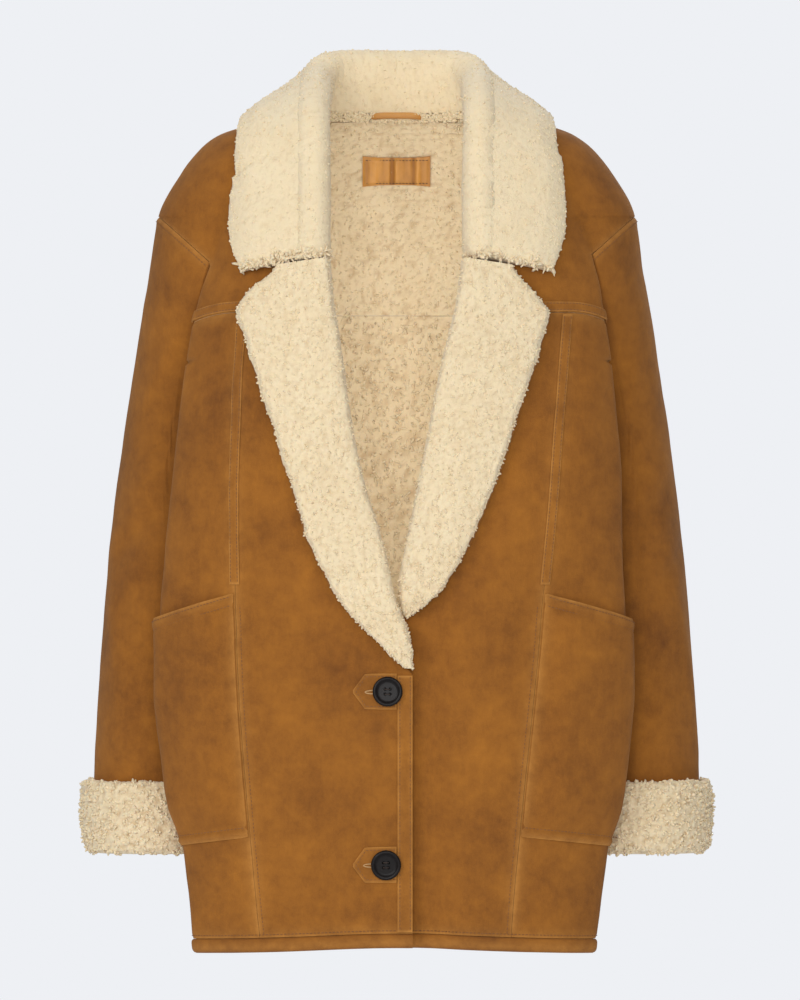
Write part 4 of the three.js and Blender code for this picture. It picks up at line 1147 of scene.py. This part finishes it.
def strip(node, places, restsOn):
    # A thin band, rounded down at both long edges.
    points = places[0]
    edges = fromEdges(points)
    distance = np.min([edges[key] for key in edges], axis=0)
    outer = raised(places, stripLift - 0.7 * np.exp(-((distance / 1.2) ** 2)))
    inner = raised(places, stripLift - coat["stripThickness"])
    wearAndPaintedLight = 0.1 + 0.85 * np.exp(-distance / 1.3)
    shades = {"wearAndPaintedLight": (wearAndPaintedLight, wearAndPaintedLight)}
    piece = addSheet(node + "_strip", outer, inner, [suedeEdge, suedeEdge], shades)
    declareCloth(node, points, restsOn)


def bandRows(z, limits, side):
    start, end = (angleAt(z, x, side) for x in limits)
    return evenRows(rowsOn(bodySurface, z, start, end, side, 24), (0, 0), 1.3, (0, 0.5, 1.1))


for side in (-1, 1):
    name = sideName(side)
    z = np.linspace(-436, coat["yokeSeam"] - 2, 86)
    half = side * coat["stripWidth"] / 2
    limits = (seamX(z, side) - half, seamX(z, side) + half)
    strip("seam_strip_" + name, bandRows(z, limits, side), ["front_" + name])
    z = np.linspace(coat["yokeSeam"] + 1, coat["yokeSeam"] + 1 + coat["stripWidth"], 9)
    start = angleAt(z, lapelEdgeX(z, side) - side * 12, side)
    rows = rowsOn(bodySurface, z, start, sideLimit(z, side, -1), side, bent=True)
    strip("yoke_strip_" + name, evenRows(rows, (0, 15), 3), ["front_yoke_" + name])
z = np.linspace(coat["hemTop"] + 2, coat["breakPoint"] - 3, 84)
limits = (1 + 0 * z, coat["overlapEdge"] - coat["seam"] + 0 * z)
strip("edge_band", bandRows(z, limits, -1), ["front_right"])

# The buttonholes' five-sided patches

buttons = {"upper": (-8.5, -537), "lower": (-10, -701)}
patchShape = tableOf("x half", [(-41, 1.5), (-30, 16.5), (-15, 17), (0, 17)])


def patchGrid(z, level, x):
    half = np.interp(x, patchShape["x"], patchShape["half"])
    height = z + level * half
    return placesOn(bodySurface, height, angleAt(height, x, -1), -1)


for name, (x, z) in buttons.items():
    across = np.concatenate([np.linspace(-41, -30, 10), np.linspace(-29, 0, 22)])[None]
    level = np.linspace(-1, 1, 26)[:, None]
    strip("buttonhole_patch_" + name, patchGrid(z, level + 0 * across, across + 0 * level), ["front_right"])
print("strips and patches made")

# Buttons: a dished disc with a rim, worked out on rings, sunk at the four holes

buttonLook = {"radius": 14.2, "hole": 1.25, "holeOut": 3.4}
buttonProfile = tableOf("place share height", [
    (0, 0, 2.9),
    (1, 0.6, 3.0),
    (2, 0.72, 3.6),
    (3, 0.8, 4.5),
    (4, 0.88, 4.75),
    (5, 0.96, 4.3),
    (6, 1, 3.2),
    (7, 1, 1.8),
    (8, 0.9, 0.5),
    (9, 0.75, 0),
    (10, 0, 0),
])


def buttonGrid():
    # The profile turned round its axis: place along it one way, angle the other.
    place = np.concatenate([np.linspace(0, 1, 26), np.linspace(1, 10, 40)[1:]])[:, None]
    turn = np.linspace(0, math.tau, 72, endpoint=False)[None]
    share = np.maximum(read(buttonProfile, "share", place, "place"), 1e-4)
    radius = share * buttonLook["radius"] + 0 * turn
    height = read(buttonProfile, "height", place, "place") + 0 * turn
    x, y = radius * np.cos(turn), radius * np.sin(turn)
    holes = [(k + 0.5) * math.pi / 2 for k in range(4)]
    out = buttonLook["holeOut"]
    far = np.min([np.hypot(x - out * math.cos(a), y - out * math.sin(a)) for a in holes], axis=0)
    sunk = 2.2 * (1 - smoothStep(buttonLook["hole"] - 0.25, buttonLook["hole"] + 0.15, far))
    return vectors(x, y, height - sunk * (place < 2))


def turnedTo(normal):
    # Three directions at right angles, the last one along the normal.
    across = unit(np.cross([0, 0, 1.0], normal))
    return np.stack([across, np.cross(normal, across), normal])


def seatOf(x, z):
    at = np.array([float(z)])
    points, normals = placesOn(bodySurface, at, angleAt(at, np.array([float(x)]), -1), -1)
    return points[0], normals[0]


for name, (x, z) in buttons.items():
    seat, normal = seatOf(x, z)
    axes = turnedTo(unit(normal + np.array([0.03, 0, 0.05 if name == "upper" else -0.02])))
    shape = buttonGrid()
    base = seat + normal * (stripLift + 0.9)
    points = (shape @ axes + base).reshape(-1, 3)
    faces = closedFaces(*shape.shape[:2], False)
    button = addPiece("button_" + name + "_horn", points, faces, [horn], sharp=50)
    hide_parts("button_" + name)
print("buttons made")

# Stitches: short capsules along lines on the cloth


def alongLine(rows, hops, at):
    return np.stack([np.interp(at, hops, rows[:, k]) for k in range(3)], -1)


def stitchMesh(name, lines, material, look):
    # Each stitch is a four-sided rod with pointed ends, along its line and half sunk in the cloth.
    centres, ways, ups = [], [], []
    for points, normals in lines:
        hops = lengthsAlong(points)
        at = np.arange(look["pitch"] / 2, hops[-1], look["pitch"])
        centres.append(alongLine(points, hops, at))
        ways.append(unit(alongLine(points, hops, at + 0.5) - alongLine(points, hops, at - 0.5)))
        ups.append(unit(alongLine(normals, hops, at)))
    centres, ways, ups = (np.concatenate(rows) for rows in (centres, ways, ups))
    ways = unit(ways + rng.normal(0, 0.05, ways.shape))
    across = unit(np.cross(ways, ups))
    length = look["length"] * rng.uniform(0.85, 1.1, len(centres))[:, None]
    thick = look["thick"]
    corners = [centres - ways * length / 2 - 0.25 * ups]
    for at in (-0.28, 0.28):
        for a, b in ((1, 0), (0, 1), (-1, 0), (0, -1)):
            corners.append(centres + ways * length * at + thick * (a * across + b * ups))
    corners.append(centres + ways * length / 2 - 0.25 * ups)
    points = np.stack(corners, axis=1).reshape(-1, 3)
    pairs = [(k, (k + 1) % 4) for k in range(4)]
    first = [(0, 1 + b, 1 + a) for a, b in pairs]
    sides = [t for a, b in pairs for t in ((1 + a, 1 + b, 5 + b), (1 + a, 5 + b, 5 + a))]
    last = [(9, 5 + a, 5 + b) for a, b in pairs]
    triangles = np.array(first + sides + last)
    faces = (triangles[None] + len(corners) * np.arange(len(centres))[:, None, None]).reshape(-1, 3)
    return addPiece(name, points, faces, [material], sharp=80)


stitchLook = {"pitch": 3.6, "length": 2.9, "thick": 0.42}
onCloth = 0.1  # how far the middle of a stitch lies above bare cloth
hemStitch = coat["hemTop"] + 3.2
shoulderReach = 1.38  # radians each way from the arm's outside that its seam's stitches go


def lineOn(places, lift):
    return raised(places, lift), places[1]


def frontLine(z, x, side, lift):
    # A line down a front, at an x for each height.
    return lineOn(tuckedIn(placesOn(bodySurface, z, angleAt(z, x, side), side), side), lift)


def levelLine(z, start, end, side, lift, count=200, bent=False):
    angles = np.linspace(start, end, count)
    z = z + 0 * angles
    if bent:
        z, angles = towardArmhole(z, angles, side)
    return lineOn(placesOn(bodySurface, z, angles, side), lift)


def pocketLine(level, side, lift):
    across = np.linspace(0.01, 0.99, 120)
    return lineOn(pocketGrid(level + 0 * across, across, side), lift)


lines = []
for side in (-1, 1):
    z = np.linspace(-434, coat["yokeSeam"] - 3, 160)
    for way in (-1, 1):
        lines.append(frontLine(z, seamX(z, side) + way * 3.1, side, stripLift))
    z = np.linspace(coat["hemTop"] + 3, -455, 200)
    lines.append(frontLine(z, seamX(z, side) - side * 4.5, side, onCloth))
    level = np.array([coat["yokeSeam"] + 5.0])
    edge = {way: float(sideLimit(level, side, way)[0]) for way in (-1, 1)}
    for rise in (2.4, 8.4):
        at = coat["yokeSeam"] + rise
        start = float(angleAt(np.array([at]), lapelEdgeX(np.array([at]), side) - side * 10, side)[0])
        lines.append(levelLine(at, start, edge[-1] - 0.09, side, stripLift, bent=True))
    lines.append(levelLine(coat["yokeSeam"] + 4, edge[1] + 0.02, math.pi / 2, side, onCloth))
    level = np.array([coat["hemTop"] + 3.0])
    hemEdge = float(angleAt(level, frontEdge(level, side), side)[0])
    under = underarms[side]["angle"]
    angles = np.linspace(hemEdge + 0.01, under - 0.01, 300)
    places = tuckedIn(placesOn(bodySurface, np.full(300, hemStitch), angles, side), side)
    lines.append(lineOn(places, onCloth))
    lines.append(levelLine(hemStitch, under + 0.01, math.pi / 2, side, onCloth, 300))
    lines.append(pocketLine(1 - 3.2 / pocket["length"], side, pocketLift + 0.8))
    lines.append(pocketLine(1 - 11 / pocket["length"], side, pocketLift - 0.4))
    lines.append(pocketLine(9 / pocket["length"], side, pocketLift - 0.4))
    angles, tops = sleeveTop[side]
    shown = np.abs(angles) < shoulderReach
    places = placesOn(armSurface, tops - 4.8, angles, side)
    lines.append((raised(places, 1.0)[shown], places[1][shown]))
z = np.linspace(coat["hemTop"] + 4, coat["breakPoint"] - 2, 160)
for x in (3.2, 13):
    lines.append(frontLine(z, x + 0 * z, -1, stripLift))
outline = [(-0.8, 14), (-14.5, 14.2), (-29, 13.8), (-38.2, 0), (-29, -13.8), (-14.5, -14.2), (-0.8, -14)]
corners = np.array(outline, float)
at = np.linspace(0, len(corners) - 1, 120)
xs, zs = (np.interp(at, np.arange(len(corners)), corners[:, k]) for k in range(2))
for _, z in buttons.values():
    lines.append(frontLine(z + zs, xs, -1, stripLift))
stitching = stitchMesh("stitching", lines, thread, stitchLook)
print("stitches", len(stitching.data.vertices) // 10)

# Buttonholes: an oval of thick thread where each slot lies, the slot itself not made; and the thread over
# each button


def ovalTube(centre, axes, halfLength, halfWidth, thick):
    # A ring of round section carried along an ellipse.
    turn = np.linspace(0, math.tau, 28, endpoint=False)[None]
    section = np.linspace(0, math.tau, 7)[:-1, None]
    x = (halfLength + thick * np.cos(section)) * np.cos(turn)
    y = (halfWidth + thick * np.cos(section)) * np.sin(turn)
    return vectors(x, y, thick * np.sin(section) + 0 * turn) @ axes + centre


for name, (x, z) in buttons.items():
    seat, normal = seatOf(x - 13.5, z - 0.5)
    ring = ovalTube(seat + normal * (stripLift + 0.15), turnedTo(normal), 7.5, 1.5, 0.75)
    faces = closedFaces(*ring.shape[:2])
    addPiece("buttonhole_" + name, ring.reshape(-1, 3), faces, [paleThread])
    seat, normal = seatOf(x, z)
    bars = []
    axes = turnedTo(normal)
    for way in (-1, 1):
        line = np.linspace(-2.4, 2.4, 5)
        points = np.stack([line, way * 2.4 + 0 * line, 3.5 - 0.06 * line**2], -1) @ axes
        bars.append((points + seat + normal * (stripLift + 0.9), np.repeat(normal[None], 5, 0)))
    stitchMesh("button_thread_" + name, bars, darkThread, {"pitch": 1.2, "length": 2.2, "thick": 0.5})

# Lapels: each front folded back on itself along its roll, wool side out

over = 3  # how far a lapel's underside lies above the front
lapelShape = tableOf("place across leather woolAcross wool", [
    (0, 0, -9, 0.04, -9),
    (1, 0, -2, 0, -3),
    (2, 0, over, 0.02, over + 7.8),
    (3, 0.1, over, 0.14, over + 12.5),
    (4, 0.36, over, 0.4, over + 13),
    (5, 0.68, over, 0.7, over + 13),
    (6, 0.92, over, 0.91, over + 12),
    (7, 1.02, over, 0.985, over + 5.5),
])
lapelLook = {"relief": 1.5, "tuft": 5.0, "length": 2.0, "width": 1.3, "lean": 1.8, "curl": 0.8}
lapelLook |= {"density": 0.05, "root": 0.5}


def leatherStart(z, side):
    return rollX(z, side) + side * rollThickness(z, side)


def lapelGrid(side, acrossKey, liftKey, start, rows, columns):
    # A front turned back: place 0 lies at the roll, and the last one at the lapel's outer edge.
    row, place = rows[:, None], columns[None]
    highest = rows[-1]
    edge = lapelEdgeX(row, side)
    width = side * (edge - rollX(row, side))
    shallow = np.minimum(1, 0.25 + width / 40)
    turned = 1 if side < 0 else smoothStep(-453, -440, row)
    across = read(lapelShape, acrossKey, place, "place")
    lift = read(lapelShape, liftKey, place, "place")
    z = row + 7.6 * (1 - across) * smoothStep(coat["yokeSeam"], highest, row)
    wave = 1.3 * smoothNoise(vectors(row, 11 * side, 0), 13, 3) * smoothStep(0.7, 1, across)
    x = mix(start(row, side), edge, across) + side * wave
    places = tuckedIn(placesOn(bodySurface, z, angleAt(z, x, side), side), side)
    base = 0.9 * over
    height = np.where(lift > base, base + (lift - base) * shallow, mix(0.9 * base, lift, turned))
    return raised(places, height), places[1]


for side in (-1, 1):
    lowest = coat["breakPoint"] + 4 if side < 0 else coat["hiddenBreak"] + 3
    rows = np.linspace(lowest, coat["gorge"] - 8.6, int((coat["gorge"] - lowest) / grid["wool"]))
    columns = np.concatenate([np.linspace(0, 3, 15), np.linspace(3, 6, 36)[1:], np.linspace(6, 7, 8)[1:]])
    flat, facing = lapelGrid(side, "woolAcross", "wool", rollX, rows, columns)
    leather, _ = lapelGrid(side, "across", "leather", leatherStart, rows, columns)
    normals = gridNormals(flat, facing)
    height = tufts(flat, lapelLook["tuft"], 70 + side)
    edges = fromEdges(flat)
    fade = smoothStep(0, 1.4, columns)[None] * np.minimum(1, 0.2 + smoothStep(0, 14, edges["bottom"]))
    points = flat + normals * (lapelLook["relief"] * (height - 0.6) * fade)[..., None]
    # Painted shade: the wool is darker in the hollows between its tufts
    wool = 0.42 + 0.34 * height
    name = "lapel_" + sideName(side)
    shades = {"wool": (wool, 0 * wool), "wearAndPaintedLight": (0 * wool, 0.2 + 0 * wool)}
    lapel = addSheet(name + "_wool", points, leather, [fleece, suede], shades, wallKind=1)
    weight = 1 + 1.6 * np.exp(-edges["end"] / 6) + 1.2 * np.exp(-edges["bottom"] / 60)
    weight = weight * smoothStep(0.8, 1.6, columns)[None]
    roots, ways = scatter(points, normals, lapelLook["density"], weight)
    curls = lockMesh(name + "_curls", roots, ways, lapelLook)
    declareCloth(name, flat, ["front_" + sideName(side)])
print("lapels made")

# The collar: it stands at the neck, folds over and falls on the shoulders

collarLook = {"relief": 1.1, "tuft": 4.4, "length": 1.5, "width": 1.2, "lean": 2.1, "curl": 0.7}
collarLook |= {"density": 0.042, "root": 0.6}
fringeLook = {"length": 4.6, "width": 1.9, "lean": 2.0, "curl": 1.0, "density": 0.22, "root": 0.4}
foldRadius = 4
frontCorner = 0.5  # the station where the neck seam leaves the back neck for the front edge


def shoulderPlaces(side):
    z = np.linspace(coat["yokeSeam"], coat["yokeTop"], 60)
    front = frontYokeRows(z, side)
    back = shoulderRows(z, np.full(len(z), math.pi / 2), side, 1)
    return tuple(np.concatenate([a.reshape(-1, 3), b.reshape(-1, 3)]) for a, b in zip(front, back))


def keptClear(places, points, height, resting=False):
    # Out along the nearest place's direction, wherever a point is lower than the height above it.
    centres, normals = places
    flat = points.reshape(-1, 3)
    far = (centres**2).sum(1)[None] - 2 * flat @ centres.T
    nearest = far.argmin(1)
    lift = ((flat - centres[nearest]) * normals[nearest]).sum(1)
    move = height - lift if resting else np.maximum(height - lift, 0)
    return (flat + normals[nearest] * move[:, None]).reshape(points.shape)


def collarPaths(at, z, side):
    # The leather side at each station: from the neck seam up, round the fold and down to the edge.
    def column(name):
        return read(collarStations, name, at, "at")

    lean = np.radians(column("lean"))
    frontness = (np.sin(lean) ** 2)[:, None]
    top = vectors(0 * at, -np.sin(lean), np.cos(lean))
    own = angleAt(z, frontEdge(z, side), side)
    angle = np.where(at <= frontCorner, mix(math.pi / 2, own, at / frontCorner), own)
    seat = placesOn(bodySurface, z, angle, side)
    inFront = (at > frontCorner)[:, None]
    away = np.where(inFront, [-side * coat["seam"], 0, 0], [0, 0, coat["seam"]])
    seat = (seat[0] + away, seat[1])
    neck = seat[0] - seat[1] * coat["wall"] * frontness
    fold = vectors(side * column("foldX"), column("foldY"), column("foldZ"))
    edge = vectors(side * column("edgeX"), column("edgeY"), column("edgeZ"))
    places = shoulderPlaces(side)
    edge = keptClear(places, edge, 3, True)
    out = edge - neck
    out = unit(out - top * (out * top).sum(1, keepdims=True))
    turns = np.linspace(math.pi, 0, 9)
    arc = [fold + foldRadius * (out * math.cos(a) + top * (math.sin(a) - 1)) for a in turns]
    outer = arc.pop()
    middle = (outer + edge) / 2 + top * 2 * column("bulge")[:, None]
    fall = [(1 - t) ** 2 * outer + 2 * t * (1 - t) * middle + t * t * edge for t in np.linspace(0, 1, 8)]
    fall = keptClear(places, np.stack(fall, 1), 3)
    inner = arc[0]
    closest = side * np.minimum(side * inner[:, 0], side * seat[0][:, 0])
    inner[:, 0] = np.where(inFront[:, 0], closest, inner[:, 0])
    stand = mix((neck + inner) / 2, seat[0] - 3 * seat[1], frontness)
    return np.concatenate([np.stack([neck, stand] + arc, 1), fall], axis=1)


def smoothColumns(paths, step):
    # A smooth curve through each path's points, with the same even spacing on all of them.
    hops = np.linalg.norm(np.diff(paths, axis=1), axis=2).mean(0)
    lengths = np.concatenate([[0], np.cumsum(hops)])
    at = np.interp(np.linspace(0, lengths[-1], int(lengths[-1] / step)), lengths, np.arange(len(lengths)))
    last = paths.shape[1] - 1
    i = np.clip(at.astype(int), 0, last - 1)
    t = (at - i)[None, :, None]
    before, start = paths[:, np.maximum(i - 1, 0)], paths[:, i]
    end, after = paths[:, i + 1], paths[:, np.minimum(i + 2, last)]
    bend = (2 * before - 5 * start + 4 * end - after) * t**2 + (3 * start - before - 3 * end + after) * t**3
    return start + 0.5 * ((end - before) * t + bend)


def collarGrid():
    fromBack = np.linspace(0, frontCorner, 94)
    knots = np.array([coat["yokeTop"], 10.5, 7, 0, -12, -26, -44, -64, -85, -108, coat["gorge"]])
    down = np.interp(np.linspace(0, 1, 78)[1:], np.linspace(0, 1, len(knots)), knots)
    front = {key: collarStations[key][4:][::-1] for key in collarStations}
    at = np.concatenate([fromBack, read(front, "at", down, "neckZ")])
    z = np.concatenate([np.full(len(fromBack), coat["yokeTop"]), down])
    right, left = (smoothColumns(collarPaths(at, z, side), grid["wool"]) for side in (-1, 1))
    return np.concatenate([right[:0:-1, : left.shape[1]], left[:, : right.shape[1]]])


leather = collarGrid()
edges = fromEdges(leather)
taper = 0.42 + 0.58 * np.sqrt(np.clip(edges["end"] / 24, 0, 1))
ends = 0.55 + 0.45 * np.sqrt(np.clip(np.minimum(edges["bottom"], edges["top"]) / 12, 0, 1))
outward = unit(np.cross(np.gradient(leather, axis=0), np.gradient(leather, axis=1)))
swell = 0.8 * smoothNoise(leather, 30, 8)
flat = leather + outward * ((coat["collarWall"] + swell) * taper * ends)[..., None]
normals = gridNormals(flat, outward)
height = tufts(flat, collarLook["tuft"], 80)
fade = smoothStep(0, 8, edges["start"])
points = flat + normals * (collarLook["relief"] * (height - 0.6) * fade)[..., None]
# Painted shade: the wool is darker in the hollows between its tufts
wool = 0.52 + 0.28 * height
shades = {"wool": (wool, 0 * wool), "wearAndPaintedLight": (0 * wool, 0.2 + 0 * wool)}
collar = addSheet("collar_wool", points, leather, [fleece, suede], shades)
weight = 0.8 + 2.4 * np.exp(-edges["end"] / 6) + 1.0 * np.exp(-np.minimum(edges["bottom"], edges["top"]) / 8)
weight = weight * smoothStep(0, 2, edges["start"])
roots, ways = scatter(points, normals, collarLook["density"], weight)
curls = lockMesh("collar_curls", roots, ways, collarLook)
low = np.exp(-((np.minimum(edges["bottom"], edges["top"]) / 4) ** 2)) * smoothStep(0, 2, edges["start"])
roots, ways = scatter(points, normals, fringeLook["density"], low)
fringe = lockMesh("collar_fringe_curls", roots, ways, fringeLook)
declareCloth("collar", leather, ["back_yoke"])
print("collar made")

# The wool that shows inside the back, between the lapels

# Painted light: the yoke's and the neck seam's locks have paler roots than the collar's, making up for the
# less light inside the coat
insideLook = {"length": 2.2, "width": 1.2, "lean": 1.6, "curl": 0.8, "density": 0.048, "root": 0.7}
lowerLook = {"length": 3.4, "width": 1.4, "lean": 1.4, "curl": 1.0, "density": 0.042, "root": 0.6}
neckLook = {"length": 2.2, "width": 1.5, "lean": 1.9, "curl": 0.8, "density": 0.5, "root": 0.85}
for name, (points, ways, _), look, lowest in (
    ("yoke_curls", yokeSkin, insideLook, coat["yokeSeam"]),
    ("back_curls", backSkin, lowerLook, -530),
):
    x, z = points[..., 0], points[..., 2]
    shown = (np.abs(x) < 84) & (z > lowest)
    roots, facing = scatter(points, ways, look["density"], shown.astype(float))
    lockMesh(name, roots, facing, look)
x = np.linspace(-78, 78, 80)[None]
inset = np.linspace(15, 11.5, 6)[:, None]
z = coat["yokeTop"] + 0 * (x + inset)
neckline, upward = placesOn(bodySurface, z, angleBehind(z, x, np.sign(x)), np.sign(x) + 0 * z)
level = unit(upward * [1, 1, 0])
ledge = neckline - level * inset[..., None] + vectors(0, 0, 2.2 - 2.2 * (15 - inset) + 0 * z)
roots, facing = scatter(ledge, -level, neckLook["density"], 1 + 0 * z)
lockMesh("neck_seam_curls", roots, facing, neckLook)
print("inner wool made")

# Inside the back of the neck: the hanging loop and a bare gathered leather patch

neckPatch = {"halfWidth": 33.5, "top": -23, "bottom": -50}
loop = {"halfWidth": 26, "middle": 8, "radius": 2.6, "sag": 2, "rise": 5}


def insideBack(x, z):
    side = np.where(x < 0, -1, 1)
    return placesOn(bodySurface, z, angleBehind(z, x, side), side)


x = np.linspace(-neckPatch["halfWidth"], neckPatch["halfWidth"], 90)[None]
z = np.linspace(neckPatch["bottom"], neckPatch["top"], 30)[:, None]
pull = 1.6 * (np.abs(x) / neckPatch["halfWidth"]) ** 3 * (z - np.mean(z)) / 13
places = insideBack(x + 0 * z, z + pull)
wrinkle = smoothNoise(vectors(x + 0 * z, 0.12 * z + 0 * x, 0 * x + 0 * z), 4.2, 12)
crumple = smoothNoise(vectors(x, 0.4 * z, 0 * x * z), 9, 13)
edge = fromEdges(places[0])
near = np.min([edge[key] for key in edge], axis=0)
rise = (1.5 * wrinkle + 0.9 * crumple) * smoothStep(0, 3, near) + 1.2 * smoothStep(0, 4, near)
outer = raised(places, -coat["wall"] - 2.2 - rise)
inner = raised(places, -coat["wall"] - 0.8 + 0 * rise)
# Paler and glossier on the raised wrinkles
wearAndPaintedLight = np.clip(0.45 + 0.9 * wrinkle, 0, 1)
shades = {"wearAndPaintedLight": (wearAndPaintedLight, wearAndPaintedLight)}
patch = addSheet("neck_patch_leather", outer, inner, [tanLeather, tanLeather], shades)
declareCloth("neck_patch", places[0], ["back_yoke"])
patchLines = []
for height in (neckPatch["top"] - 2, neckPatch["bottom"] + 2):
    across = np.linspace(-31, 31, 60)
    places = insideBack(across, height + 0 * across)
    patchLines.append((raised(places, -coat["wall"] - 3.6), -places[1]))
stitchMesh("neck_patch_stitching", patchLines, darkThread, {"pitch": 3.2, "length": 2.4, "thick": 0.35})

x = np.linspace(-loop["halfWidth"], loop["halfWidth"], 60)
z = loop["middle"] - loop["sag"] * (x / loop["halfWidth"]) ** 4
middle, normals = insideBack(x, z)
normals = unit(normals * [1, 1, 0])
middle[:, 2] += loop["rise"]
ends = np.sqrt(np.clip(1 - (np.abs(x) / (loop["halfWidth"] + 0.2)) ** 14, 0.02, 1))
turn = np.linspace(0, math.tau, 12, endpoint=False)
standing = 2.2 * (1 - (np.abs(x) / loop["halfWidth"]) ** 6)
centre = middle - normals * (coat["collarWall"] + 5.6 + standing)[:, None]
radius = loop["radius"] * ends
ring = (
    centre[:, None]
    + (radius[:, None] * np.cos(turn))[..., None] * np.array([0, 0, 1.2])
    + (0.7 * radius[:, None] * np.sin(turn))[..., None] * normals[:, None]
)
caps = np.stack([centre[0] + 0 * ring[0], centre[-1] + 0 * ring[0]])
tube = np.concatenate([caps[:1], ring, caps[1:]])
# Painted light: the loop is paler along its top and darker underneath, as if lit from above
wearAndPaintedLight = 0.6 + 0.3 * np.cos(turn)[None] + np.zeros((len(tube), 1))
faces = closedFaces(len(tube), len(turn), False)
points = tube.reshape(-1, 3)
hanger = addPiece("hanging_loop_leather", points, faces, [tanLeather], None, {"wearAndPaintedLight": wearAndPaintedLight})
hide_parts("hanging_loop")
print("loop and patch made")

# Floor, light and camera

stage = {"floor": -1.45, "camera": 12.0, "lookAcross": 0.0033, "lookUp": -0.356, "span": 0.95}
half = 3.0
corners = [(-half, -half), (half, -half), (half, half), (-half, half)]
floorMesh = bpy.data.meshes.new("floor")
floorMesh.from_pydata([(x, y, stage["floor"]) for x, y in corners], [], [(0, 1, 2, 3)])
floorMesh.materials.append(makeFloor("floor"))
floor = addObject("floor", floorMesh)


def addLight(name, place, size, energy, target=(0, 0, -0.35)):
    # A soft oblong light, turned to its target: the middle of the coat unless another is given.
    data = bpy.data.lights.new(name, "AREA")
    data.shape, data.energy = "RECTANGLE", energy
    data.size, data.size_y = size
    light = addObject(name, data)
    light.location = place
    x, y, z = np.array(target) - np.array(place)
    light.rotation_euler = (math.atan2(math.hypot(x, y), -z), 0, math.atan2(x, -y) + math.pi)
    light.visible_camera = False


addLight("front", (-0.2, -4.6, 0.05), (1.8, 1.8), 66)
addLight("key", (-2.3, -3.5, 0.9), (1.6, 1.6), 49)
addLight("fill", (2.0, -3.6, 1.0), (1.6, 1.6), 18)
addLight("top", (0.0, 0.4, 2.4), (1.6, 1.6), 18)
addLight("back", (0.6, 3.4, 1.0), (2.4, 2.4), 60)
addLight("inside", (0.0, -0.035, -0.28), (0.12, 0.46), 0.2, (0, 1, -0.28))


def makeStudio(shown, strength):
    # The backdrop keeps its own pale colour, and lights the coat more weakly than it looks.
    world = bpy.data.worlds.new("studio")
    world.use_nodes = True
    nodes, links = world.node_tree.nodes, world.node_tree.links
    seen = nodes["Background"]
    seen.inputs["Color"].default_value = shown
    lit = nodes.new("ShaderNodeBackground")
    lit.inputs["Color"].default_value = (1, 1, 1, 1)
    lit.inputs["Strength"].default_value = strength
    path, both = nodes.new("ShaderNodeLightPath"), nodes.new("ShaderNodeMixShader")
    links.new(path.outputs["Is Camera Ray"], both.inputs[0])
    links.new(lit.outputs[0], both.inputs[1])
    links.new(seen.outputs[0], both.inputs[2])
    links.new(both.outputs[0], nodes["World Output"].inputs["Surface"])
    bpy.context.scene.world = world


makeStudio(tint(238, 240, 244), 0.36)
bpy.context.scene.view_settings.view_transform = "Standard"

cameraData = bpy.data.cameras.new("camera")
cameraData.sensor_width = 36
cameraData.lens = 36 * stage["camera"] / stage["span"]
cameraData.clip_end = 60
camera = addObject("camera", cameraData)
camera.location = (stage["lookAcross"], -stage["camera"] - 0.07, stage["lookUp"])
camera.rotation_euler = (math.pi / 2, 0, 0)
bpy.context.scene.camera = camera
